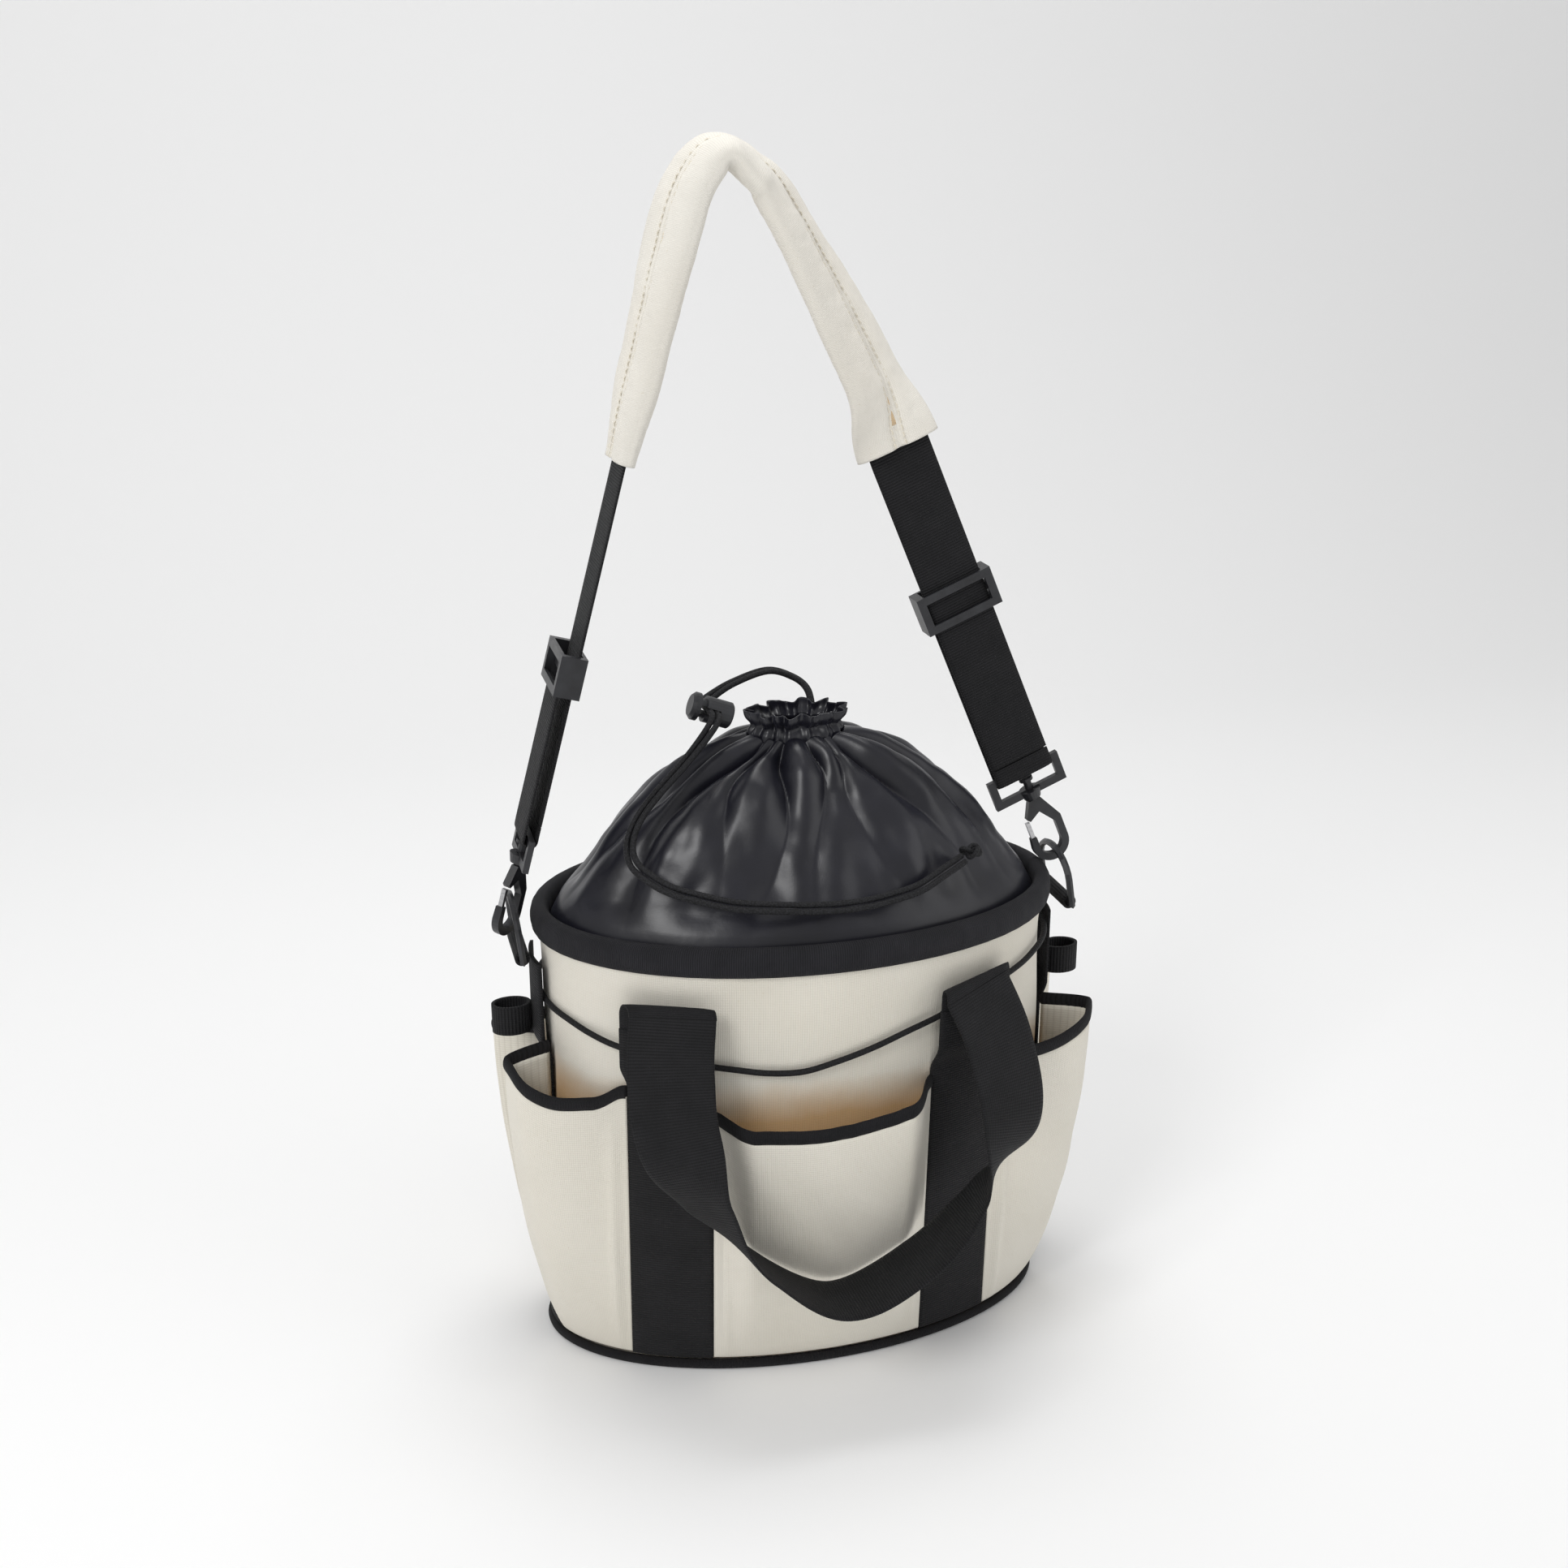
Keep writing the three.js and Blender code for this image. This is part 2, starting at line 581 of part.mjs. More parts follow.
// The hook is a bow open on one side, closed by its gate.
function hookGeometry() {
  const bow = new THREE.Shape();
  const outer = eyeHalf + hookWire;
  const foot = eyeFoot + eyeHalf;
  bow.moveTo(-4, hookTop);
  bow.lineTo(4, hookTop);
  bow.lineTo(outer - 3, hookTop - 11);
  bow.lineTo(outer - hookWire, hookTop - 13);
  bow.lineTo(0, hookTop - 9);
  bow.lineTo(-eyeHalf, hookTop - 20);
  bow.lineTo(-eyeHalf, foot);
  bow.absarc(0, foot, eyeHalf, Math.PI, 2 * Math.PI, false);
  bow.lineTo(eyeHalf, noseHeight);
  bow.lineTo(outer - 1, noseHeight);
  bow.lineTo(outer, foot);
  bow.absarc(0, foot, outer, 0, -Math.PI, true);
  bow.lineTo(-outer, hookTop - 17);
  const flat = new THREE.ExtrudeGeometry(bow, { depth: hookWire, bevelEnabled: false, curveSegments: 8 });
  flat.translate(0, 0, -hookWire / 2);
  flat.rotateX(Math.PI / 2);
  const pin = new THREE.CylinderGeometry(pinRadius, pinRadius, 17, 16);
  pin.rotateX(Math.PI / 2);
  pin.translate(0, 0, hookTop + 7);
  const head = new THREE.CylinderGeometry(4.5, 4.5, 2, 16);
  head.rotateX(Math.PI / 2);
  head.translate(0, 0, hookTop + 15);
  return fromSolid(toSolid(flat).add(toSolid(pin)).add(toSolid(head)));
}

function gateGeometry() {
  const wire = 2.6;
  const height = hookTop - 13.4 - noseHeight - gap * 2;
  const bar = new THREE.BoxGeometry(wire, hookWire - 2, height);
  bar.translate(eyeHalf + wire / 2 + 0.6, 0, noseHeight + gap + height / 2);
  return closed(bar);
}

// The slider's frame goes round both layers of webbing and its middle bar lies between them.
function sliderGeometry() {
  const inner = strapWidth + 1.2;
  const depth = layerGap + 2 * webbing + 2 * gap;
  const outer = new THREE.BoxGeometry(inner + 2 * sliderWall, depth + 5, sliderHeight);
  const window = new THREE.BoxGeometry(inner, depth + 0.6, sliderHeight + 2);
  const face = new THREE.BoxGeometry(inner, depth + 8, sliderHeight - 10);
  const bar = new THREE.BoxGeometry(inner + 2, layerGap - 2 * gap - 0.4, 5);
  return fromSolid(toSolid(outer).subtract(toSolid(window)).subtract(toSolid(face)).add(toSolid(bar)));
}

// The second layer turns round the hook's bar and comes back up to the slider.
function returnGeometry(sliderHeightUp) {
  const radius = layerGap / 2 + webbing / 2;
  const route = [[0, radius, sliderHeightUp - sliderHeight / 2 - 2]];
  for (const z of [0.6, 0.25]) route.push([0, radius, sliderHeightUp * z]);
  for (let angle = 0; angle <= 180; angle += 30) {
    route.push([0, radius * Math.cos(turn(angle)), -radius * Math.sin(turn(angle))]);
  }
  for (const z of [4, 9]) route.push([0, -radius, z]);
  const frame = bandFrame(route, route.map(() => [1, 0, 0]));
  return band(frame, strapWidth, webbing, 44);
}

function placeLocal(side, [x, y, z]) {
  const { bar, lean, legTwist } = sides[side];
  const point = new THREE.Vector3(x, y, z).applyAxisAngle(new THREE.Vector3(0, 0, 1), turn(legTwist));
  point.applyAxisAngle(new THREE.Vector3(0, 1, 0), turn(lean));
  return [bar[0] + point.x, point.y, bar[1] + point.z];
}

function legDirection(side, local) {
  const from = placeLocal(side, [0, 0, 0]);
  return placeLocal(side, local).map((value, i) => value - from[i]);
}

const layerOff = -(layerGap / 2 + webbing / 2);
const apexLeft = placeLocal('left', [0, layerOff, sides.left.padEnd + 60]);
const apexRight = placeLocal('right', [0, layerOff, sides.right.padEnd + 60]);
const strapRoute = [
  placeLocal('left', [0, layerOff, 10]), placeLocal('left', [0, layerOff, sides.left.slider]),
  placeLocal('left', [0, layerOff, sides.left.padEnd]), apexLeft, [-68, 0, 680], [-56, 0, 706],
  [-43, 0, 716], [-26, 0, 707], [-8, 0, 686], apexRight,
  placeLocal('right', [0, layerOff, sides.right.padEnd]),
  placeLocal('right', [0, layerOff, sides.right.slider]), placeLocal('right', [0, layerOff, 10])];
const leftAcross = legDirection('left', [1, 0, 0]);
const rightAcross = legDirection('right', [1, 0, 0]);
const strapFacings = [
  leftAcross, leftAcross, leftAcross, [-0.15, 1, 0], [-0.3, 1, 0], [-0.2, 1, 0.1], [-0.1, 1, 0.1],
  [0.15, 1, 0.2], [0.4, 1, 0.3], [0.8, 0.9, 0.4], rightAcross, rightAcross, rightAcross];
const strapFrame = bandFrame(strapRoute, strapFacings);
const strapSteps = 60;
const padSpan = [16 / strapSteps, 44 / strapSteps];
const foamSpan = [17 / strapSteps, 43 / strapSteps];

add('shoulder_webbing', band(strapFrame, strapWidth, webbing, strapSteps), blackWebbing);
const stepsIn = ([from, to]) => Math.round((to - from) * strapSteps);
add('pad_cover', sleeve(strapFrame, padSpan, padWidth, padThickness, padWall, stepsIn(padSpan), 12),
  creamCanvas);
add('pad_foam', band(strapFrame, strapWidth, foamThickness, stepsIn(foamSpan), foamSpan,
  webbing / 2 + foamClearance + foamThickness / 2), foam);

for (const [side, place] of Object.entries(sides)) {
  const end = new THREE.Group();
  end.position.set(place.bar[0], 0, place.bar[1]);
  end.rotation.y = turn(place.lean);
  group.add(end);
  const leg = new THREE.Group();
  leg.rotation.z = turn(place.legTwist);
  end.add(leg);
  addTo(leg, `hook_frame_${side}`, hookFrameGeometry(), blackPlastic);
  addTo(leg, `webbing_return_${side}`, returnGeometry(place.slider), blackWebbing);
  const slider = addTo(leg, `slider_${side}`, sliderGeometry(), blackPlastic);
  slider.position.z = place.slider;
  const hook = new THREE.Group();
  hook.rotation.z = turn(place.hookTwist);
  end.add(hook);
  addTo(hook, `hook_${side}`, hookGeometry(), blackPlastic);
  addTo(hook, `hook_gate_${side}`, gateGeometry(), steel);
}

export default group;
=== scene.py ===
"""Garden tool bag: cloth, webbing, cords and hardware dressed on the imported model. Metres, +Z up."""
import math
import bpy
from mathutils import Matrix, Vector, noise


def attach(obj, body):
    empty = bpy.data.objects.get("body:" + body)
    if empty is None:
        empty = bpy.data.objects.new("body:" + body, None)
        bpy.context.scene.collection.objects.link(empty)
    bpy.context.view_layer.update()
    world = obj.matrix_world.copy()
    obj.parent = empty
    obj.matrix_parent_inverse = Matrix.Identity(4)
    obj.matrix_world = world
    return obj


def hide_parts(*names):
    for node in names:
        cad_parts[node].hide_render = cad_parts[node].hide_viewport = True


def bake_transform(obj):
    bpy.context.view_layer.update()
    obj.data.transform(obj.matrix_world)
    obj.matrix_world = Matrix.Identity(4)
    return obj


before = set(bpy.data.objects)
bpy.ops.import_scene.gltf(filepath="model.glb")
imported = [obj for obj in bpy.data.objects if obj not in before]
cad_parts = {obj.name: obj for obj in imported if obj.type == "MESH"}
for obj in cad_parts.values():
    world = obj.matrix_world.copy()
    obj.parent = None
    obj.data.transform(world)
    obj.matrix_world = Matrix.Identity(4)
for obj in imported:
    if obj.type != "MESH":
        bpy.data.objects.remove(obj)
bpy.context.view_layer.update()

MM = 0.001

# Sizes shared with the model, in millimetres
BASE_LENGTH, BASE_DEPTH = 160, 83
TOP_LENGTH, TOP_DEPTH = 159, 100
RIM_HEIGHT, RIM_WIDTH, RIM_FALL = 280, 12, 18
SEAM_HEIGHT = RIM_HEIGHT - RIM_FALL
CANVAS, WEBBING, GAP = 2, 2, 0.3
WEB_WIDTH, STRAP_WIDTH = 50, 38
WEB_CENTRES = (-95, 83)
SEWN_HEIGHT, RISER_TOP, RISER_STAND = 196, 246, 6.5
WALL_FOOT = 6.3
HOOD_TOP, HOOD_SPRING, HOOD_CURVE, NECK_SHARE = 391, 281, 2.6, 0.2
HOOD_LENGTH = TOP_LENGTH - RIM_WIDTH / 2 - CANVAS / 2 - GAP
HOOD_DEPTH = TOP_DEPTH - RIM_WIDTH / 2 - CANVAS / 2 - GAP
POCKET_FOOT, POCKET_BINDING = 9, 8
CORD, ELASTIC = 3.6, 3.6
FRAME_BAR = 1.8
PAD_WIDTH, PAD_THICKNESS = 52, 17.5
LAYER_GAP = 2 * math.sqrt(2) * FRAME_BAR + 2 * GAP
SIDES = {
    "left": dict(bar=(-164, 337), lean=15, slider=101, pad_end=222, leg_twist=90, ring=(-172, 264)),
    "right": dict(bar=(147, 348.5), lean=-23, slider=122, pad_end=214, leg_twist=0, ring=(175, 264)),
}


# Camera ---------------------------------------------------------------------------------------
CAMERA_AZIMUTH, CAMERA_ELEVATION = -14.8, 18.8
CAMERA_DISTANCE, CAMERA_LENS = 1.135, 42.95
CAMERA_TARGET = (-0.0068, 0.0018, 0.352)


def make_camera():
    azimuth, elevation = math.radians(CAMERA_AZIMUTH), math.radians(CAMERA_ELEVATION)
    back = Vector((math.sin(azimuth) * math.cos(elevation), -math.cos(azimuth) * math.cos(elevation),
                   math.sin(elevation)))
    camera = bpy.data.objects.new("camera", bpy.data.cameras.new("camera"))
    camera.location = Vector(CAMERA_TARGET) + back * CAMERA_DISTANCE
    camera.rotation_euler = back.to_track_quat("Z", "Y").to_euler()
    camera.data.lens = CAMERA_LENS
    camera.data.sensor_width = 36
    bpy.context.scene.collection.objects.link(camera)
    bpy.context.scene.camera = camera


make_camera()


# Small tools ----------------------------------------------------------------------------------
def mix(a, b, t):
    return a + (b - a) * t


def ease(x, low, high):
    t = min(max((x - low) / (high - low), 0), 1)
    return t * t * (3 - 2 * t)


def bump_at(x, centre, width):
    return math.exp(-((x - centre) / width) ** 2)


def wander(x, y, z, scale):
    return noise.noise(Vector((x, y, z)) / scale)


def link_mesh(name, points, faces, uvs=None):
    mesh = bpy.data.meshes.new(name)
    mesh.from_pydata([tuple(c * MM for c in p) for p in points], [], faces)
    if uvs:
        layer = mesh.uv_layers.new(name="UVMap")
        for loop in mesh.loops:
            layer.data[loop.index].uv = [c * MM for c in uvs[loop.vertex_index]]
    mesh.polygons.foreach_set("use_smooth", [True] * len(mesh.polygons))
    mesh.update()
    piece = bpy.data.objects.new(name, mesh)
    bpy.context.scene.collection.objects.link(piece)
    return piece


def cloth(name, place, steps, size, closed=False):
    """A sheet with rounded edges. place(u, v, w) gives millimetres; w runs through its thickness."""
    across, up = steps
    columns = across if closed else across + 1
    section = [(j / up, 1) for j in range(up + 1)] + [(j / up, 0) for j in range(up, -1, -1)]
    count = len(section)
    points, uvs = [], []
    for i in range(columns):
        u = i / across
        for v, w in section:
            points.append(place(u, v, w))
            uvs.append((u * size[0], v * size[1]))
    faces = []
    for i in range(across):
        a, b = i * count, ((i + 1) % columns) * count
        for j in range(count):
            k = (j + 1) % count
            faces.append((a + j, b + j, b + k, a + k))
    if not closed:
        for j in range(up):
            mirror = count - 1 - j
            faces.append((j, j + 1, mirror - 1, mirror))
            end = across * count
            faces.append((end + mirror, end + mirror - 1, end + j + 1, end + j))
    return link_mesh(name, points, faces, uvs)


def catmull(points, t):
    """A point on a smooth line through the points, t from 0 to 1."""
    span = t * (len(points) - 1)
    i = min(int(span), len(points) - 2)
    f = span - i
    a, b = Vector(points[max(i - 1, 0)]), Vector(points[i])
    c, d = Vector(points[i + 1]), Vector(points[min(i + 2, len(points) - 1)])
    return 0.5 * (2 * b + (c - a) * f + (2 * a - 5 * b + 4 * c - d) * f ** 2
                  + (3 * b - 3 * c + d - a) * f ** 3)


def band_frame(points, facings, samples=400):
    """Frames by length along a band: (point, across, outward) at a share of its length."""
    line = [catmull(points, i / samples) for i in range(samples + 1)]
    lengths = [0]
    for a, b in zip(line, line[1:]):
        lengths.append(lengths[-1] + (b - a).length)
    total = lengths[-1]

    def frame_at(u):
        goal = min(max(u, 0), 1) * total
        low, high = 0, samples
        while high - low > 1:
            middle = (low + high) // 2
            if lengths[middle] <= goal:
                low = middle
            else:
                high = middle
        share = (goal - lengths[low]) / max(lengths[high] - lengths[low], 1e-9)
        t = (low + share) / samples
        point = line[low].lerp(line[high], share)
        before, after = catmull(points, max(t - 0.004, 0)), catmull(points, min(t + 0.004, 1))
        tangent = (after - before).normalized()
        span = t * (len(points) - 1)
        i = min(int(span), len(points) - 2)
        here, there = Vector(facings[i]).normalized(), Vector(facings[i + 1]).normalized()
        across = here.lerp(there, ease(span - i, 0, 1))
        across = (across - tangent * across.dot(tangent)).normalized()
        return point, across, tangent.cross(across)

    return frame_at, total


def strap_piece(name, frame_at, total, width, thickness, steps=160, span=(0, 1), lift=0):
    def place(u, v, w):
        share = mix(span[0], span[1], u)
        point, across, out = frame_at(share)
        side = (v - 0.5) * width
        through = (w - 0.5) * thickness * (1 - 0.55 * abs(2 * v - 1) ** 8) + lift
        return point + across * side + out * through
    return cloth(name, place, (steps, 16), (total * (span[1] - span[0]), width))


# The tub's own surface ------------------------------------------------------------------------
def half_sizes(z):
    share = min(z / SEAM_HEIGHT, 1)
    return mix(BASE_LENGTH, TOP_LENGTH, share), mix(BASE_DEPTH, TOP_DEPTH, share)


def on_tub(angle, z, off):
    length, depth = half_sizes(z)
    return Vector(((length + off) * math.cos(angle), (depth + off) * math.sin(angle), z))


def front_angle(x, z):
    return -math.acos(x / half_sizes(z)[0])


def side_angle(y, z):
    return math.asin(y / half_sizes(z)[1])


def slope_share(x):
    length, depth = half_sizes(SEWN_HEIGHT / 2)
    return 1 / math.hypot(1, (depth / length) * x / math.sqrt(length ** 2 - x ** 2))


def web_edges(centre):
    half = WEB_WIDTH / 2 * slope_share(centre)
    return centre - half, centre + half


def turned(place, yaw):
    """The same piece on the other face of the bag."""
    sign = -1 if yaw else 1

    def turned_place(u, v, w):
        p = place(u, v, w)
        return Vector((sign * p[0], sign * p[1], p[2]))
    return turned_place


# Materials ------------------------------------------------------------------------------------
class Look:
    """A small builder for node materials."""

    def __init__(self, name, colour, roughness, metallic=0.0, sheen=0.0, coat=0.0):
        self.material = bpy.data.materials.new(name)
        self.material.use_nodes = True
        self.tree = self.material.node_tree
        self.shader = self.tree.nodes["Principled BSDF"]
        self.shader.inputs["Base Color"].default_value = (*colour, 1)
        self.shader.inputs["Roughness"].default_value = roughness
        self.shader.inputs["Metallic"].default_value = metallic
        self.shader.inputs["Sheen Weight"].default_value = sheen
        self.shader.inputs["Coat Weight"].default_value = coat

    def node(self, kind, inputs=None, **settings):
        node = self.tree.nodes.new(kind)
        for key, value in settings.items():
            setattr(node, key, value)
        for key, value in (inputs or {}).items():
            if isinstance(value, bpy.types.NodeSocket):
                self.tree.links.new(value, node.inputs[key])
            else:
                node.inputs[key].default_value = value
        return node

    def math(self, operation, a, b=0.0):
        return self.node("ShaderNodeMath", {0: a, 1: b}, operation=operation).outputs[0]

    def uv(self):
        place = self.node("ShaderNodeUVMap", uv_map="UVMap").outputs[0]
        return self.node("ShaderNodeSeparateXYZ", {0: place})

    def stripes(self, coordinate, pitch, sharp=1.0):
        """0 to 1 waves across a coordinate in metres."""
        wave = self.math("SINE", self.math("MULTIPLY", coordinate, 2 * math.pi / pitch))
        return self.math("POWER", self.math("ABSOLUTE", wave), sharp)

    def noise(self, scale, detail=3.0, stretch=(1, 1, 1)):
        place = self.node("ShaderNodeTexCoord").outputs["Object"]
        mapped = self.node("ShaderNodeMapping", {0: place, 3: stretch}).outputs[0]
        texture = self.node("ShaderNodeTexNoise", {"Vector": mapped, "Scale": scale, "Detail": detail})
        return texture.outputs[0]

    def ramp(self, factor, stops):
        node = self.node("ShaderNodeValToRGB", {0: factor})
        for element, (position, colour) in zip(node.color_ramp.elements, (stops[0], stops[-1])):
            element.position = position
            element.color = (*colour, 1)
        for position, colour in stops[1:-1]:
            node.color_ramp.elements.new(position).color = (*colour, 1)
        return node.outputs[0]

    def blend_colour(self, factor, a, b, blend_type="MIX"):
        node = self.node("ShaderNodeMix", {0: factor}, data_type="RGBA", blend_type=blend_type)
        for socket, value in ((6, a), (7, b)):
            if isinstance(value, bpy.types.NodeSocket):
                self.tree.links.new(value, node.inputs[socket])
            else:
                node.inputs[socket].default_value = (*value, 1)
        return node.outputs[2]

    def finish(self, colour=None, height=None, distance=0.0003, strength=1.0, rough=None):
        if colour is not None:
            self.tree.links.new(colour, self.shader.inputs["Base Color"])
        if rough is not None:
            self.tree.links.new(rough, self.shader.inputs["Roughness"])
        if height is not None:
            bump = self.node("ShaderNodeBump", {"Height": height, "Distance": distance, "Strength": strength})
            self.tree.links.new(bump.outputs[0], self.shader.inputs["Normal"])
        return self.material


def canvas_material(name, light, dark, weave=0.0011, low=None):
    look = Look(name, light, 0.92, sheen=0.15)
    uv = look.uv()
    warp = look.stripes(uv.outputs[0], weave * 2, 0.7)
    weft = look.stripes(uv.outputs[1], weave * 2, 0.7)
    threads = look.math("MULTIPLY", warp, weft)
    slub = look.noise(420, 2, (1, 1, 0.12))
    cloudy = look.noise(11, 4)
    tone = look.ramp(cloudy, [(0.3, dark), (0.7, light)])
    # low is a brown tan painted on the wall below the pocket tops: painted shade inside the pockets. clear is
    # 1 above the pockets and 0 below them.
    if low:
        height = look.math("ADD", uv.outputs[1], look.math("MULTIPLY", look.noise(30, 2), 0.02))
        clear = look.ramp(look.math("MULTIPLY", height, 4), [(0.735, (0, 0, 0)), (0.85, (1, 1, 1))])
        tone = look.blend_colour(clear, low, tone)
    shade = look.ramp(threads, [(0.0, (0.80, 0.79, 0.77)), (0.6, (1, 1, 1))])
    colour = look.blend_colour(0.75, tone, shade, "MULTIPLY")
    flecks = look.ramp(look.noise(900, 1), [(0.70, (1, 1, 1)), (0.78, (0.88, 0.83, 0.74))])
    colour = look.blend_colour(0.6, colour, flecks, "MULTIPLY")
    height = look.math("ADD", look.math("MULTIPLY", threads, 0.6), look.math("MULTIPLY", slub, 0.8))
    return look.finish(colour, height, 0.00035, 0.8)


def webbing_material(name, colour=(0.0052, 0.0052, 0.0058), rib=0.0017, along=0, across_pitch=0.0030):
    look = Look(name, colour, 0.78, sheen=0.02)
    look.shader.inputs["Specular IOR Level"].default_value = 0.28
    uv = look.uv()
    ribs = look.stripes(uv.outputs[along], rib * 2, 0.8)
    cross = look.stripes(uv.outputs[1 - along], across_pitch, 0.6)
    height = look.math("ADD", ribs, look.math("MULTIPLY", cross, 0.35))
    # Painted highlight and shade: the rib crests are painted lighter and the grooves between them darker.
    tone = look.ramp(ribs, [(0.0, [c * 0.45 for c in colour]), (0.9, [c * 2.1 for c in colour])])
    worn = look.ramp(look.noise(60, 4), [(0.35, (0.75, 0.75, 0.78)), (0.75, (1.25, 1.22, 1.25))])
    return look.finish(look.blend_colour(1.0, tone, worn, "MULTIPLY"), height, 0.0005, 0.9)


def nylon_material():
    look = Look("satin_nylon", (0.009, 0.009, 0.014), 0.36, sheen=0.04)
    look.shader.inputs["Specular IOR Level"].default_value = 0.5
    look.shader.inputs["Sheen Tint"].default_value = (0.55, 0.57, 0.75, 1)
    look.shader.inputs["Sheen Roughness"].default_value = 0.35
    uv = look.uv()
    weave = look.math("MULTIPLY", look.stripes(uv.outputs[0], 0.0012), look.stripes(uv.outputs[1], 0.0012))
    crinkle = look.noise(95, 5)
    tone = look.ramp(look.noise(24, 5), [(0.3, (0.0045, 0.0045, 0.008)), (0.7, (0.011, 0.011, 0.018))])
    height = look.math("ADD", look.math("MULTIPLY", weave, 0.05), crinkle)
    rough = look.math("ADD", look.math("MULTIPLY", look.noise(30, 3), 0.18), 0.25)
    return look.finish(tone, height, 0.0004, 0.4, rough)


def cord_material(name, colour):
    look = Look(name, colour, 0.68, sheen=0.02)
    look.shader.inputs["Specular IOR Level"].default_value = 0.3
    place = look.node("ShaderNodeTexCoord").outputs["Object"]
    braid = look.node("ShaderNodeTexVoronoi", {"Vector": place, "Scale": 900}).outputs["Distance"]
    # Painted shade and highlight: the braid is painted darker in the grooves between strands and lighter on
    # the strands.
    tone = look.ramp(braid, [(0.1, [c * 2.2 for c in colour]), (0.7, [c * 0.5 for c in colour])])
    return look.finish(tone, braid, -0.0004, 0.8)


def plastic_material():
    look = Look("moulded_plastic", (0.013, 0.013, 0.015), 0.42)
    grain = look.noise(1500, 2)
    scuffs = look.noise(70, 5)
    tone = look.ramp(scuffs, [(0.35, (0.009, 0.009, 0.011)), (0.72, (0.024, 0.025, 0.029))])
    rough = look.math("ADD", look.math("MULTIPLY", scuffs, 0.25), 0.28)
    return look.finish(tone, grain, 0.00008, 0.5, rough)


def steel_material():
    look = Look("gate_steel", (0.55, 0.55, 0.56), 0.3, metallic=1.0)
    brushed = look.noise(300, 3, (1, 1, 8))
    tone = look.ramp(brushed, [(0.3, (0.42, 0.42, 0.43)), (0.7, (0.66, 0.66, 0.67))])
    return look.finish(tone, brushed, 0.00005, 0.4)


def thread_material():
    look = Look("cream_thread", (0.80, 0.74, 0.62), 0.8)
    twist = look.noise(1800, 2)
    tone = look.ramp(twist, [(0.3, (0.66, 0.60, 0.48)), (0.7, (0.84, 0.79, 0.68))])
    return look.finish(tone, twist, 0.0001, 0.5)


CREAM_TONES = (0.835, 0.80, 0.715), (0.775, 0.735, 0.64)
CREAM = canvas_material("cream_canvas", *CREAM_TONES)
# The tub wall's canvas, with painted shade below the pocket tops.
TUB_CREAM_POCKET_SHADE = canvas_material("tub_canvas_pocket_shade", *CREAM_TONES, low=(0.66, 0.43, 0.22))
# A darker, warmer copy of the canvas, its tan standing for the canvas in shade inside the pockets: painted
# shade. Only the pad foam uses it.
SHADED_CANVAS = canvas_material("canvas_in_shade", (0.80, 0.62, 0.40), (0.70, 0.50, 0.30))
PAD_CREAM = canvas_material("pad_canvas", (0.90, 0.87, 0.80), (0.85, 0.81, 0.73), 0.0009)
WEB = webbing_material("black_webbing")
RIM_WEB = webbing_material("rim_webbing", (0.0085, 0.0085, 0.0105), rib=0.0011, across_pitch=0.0016)
BINDING = webbing_material("black_binding", (0.0055, 0.0055, 0.0065), rib=0.0008, across_pitch=0.0012)
NYLON = nylon_material()
DRAWCORD = cord_material("braided_cord", (0.0075, 0.0075, 0.009))
ELASTIC_CORD = cord_material("elastic_braid", (0.006, 0.006, 0.007))
PLASTIC = plastic_material()
STEEL = steel_material()
THREAD = thread_material()


def dress(piece, material, body, slot, *nodes):
    piece.data.materials.append(material)
    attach(piece, body)
    if nodes:
        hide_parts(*nodes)
    return piece


# Cords ----------------------------------------------------------------------------------------
CORD_ROUTE = [
    (14, 25, 404), (6, 30, 411), (-10, 30, 416), (-32, 29, 410), (-48, 24, 403), (-52, 17, 402),
    (-52, 2, 402), (-52, -13, 402), (-59, -21, 395), (-74, -27, 380), (-90, -32, 366),
    (-103, -36, 352), (-110, -43, 340), (-110, -53, 331), (-103, -62, 325), (-93, -70, 320),
    (-78, -77, 316), (-58, -84, 312), (-36, -88.5, 310), (-8, -91, 308), (16, -91, 308),
    (37, -88.5, 310), (53, -84, 312), (69, -77, 317), (84, -69, 321)]
CORD_START = Vector((15, 16, 393))
LOCK_LEAN = math.radians(20)
STRAND_SPACING = CORD + 2 * GAP


def strand_points(side):
    upright = Vector((math.sin(LOCK_LEAN), 0, math.cos(LOCK_LEAN)))
    points = []
    for i, point in enumerate(CORD_ROUTE):
        before, after = CORD_ROUTE[max(i - 1, 0)], CORD_ROUTE[min(i + 1, len(CORD_ROUTE) - 1)]
        along = Vector(after) - Vector(before)
        sloping = Vector((point[0] * 0.4, point[1] * 0.8, 60)).normalized()
        across = along.cross(upright.lerp(sloping, ease(i, 7, 10))).normalized()
        points.append(Vector(point) + across * side * STRAND_SPACING / 2)
    inside = CORD_START + (points[0] - Vector(CORD_ROUTE[0]))
    return [inside, *points]


def tube(name, points, diameter, material, body, slot, *nodes, steps=12):
    curve = bpy.data.curves.new(name, "CURVE")
    curve.dimensions = "3D"
    curve.bevel_depth = diameter / 2 * MM
    curve.bevel_resolution = 4
    curve.use_fill_caps = True
    count = len(points) * steps
    spline = curve.splines.new("POLY")
    smooth = [catmull(points, i / count) for i in range(count + 1)]
    spline.points.add(len(smooth) - 1)
    for knot, point in zip(spline.points, smooth):
        knot.co = (*(point * MM), 1)
    piece = bpy.data.objects.new(name, curve)
    bpy.context.scene.collection.objects.link(piece)
    piece.data.materials.append(material)
    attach(piece, body)
    if nodes:
        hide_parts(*nodes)
    length = sum((b - a).length for a, b in zip(smooth, smooth[1:]))
    return piece, smooth[0], length


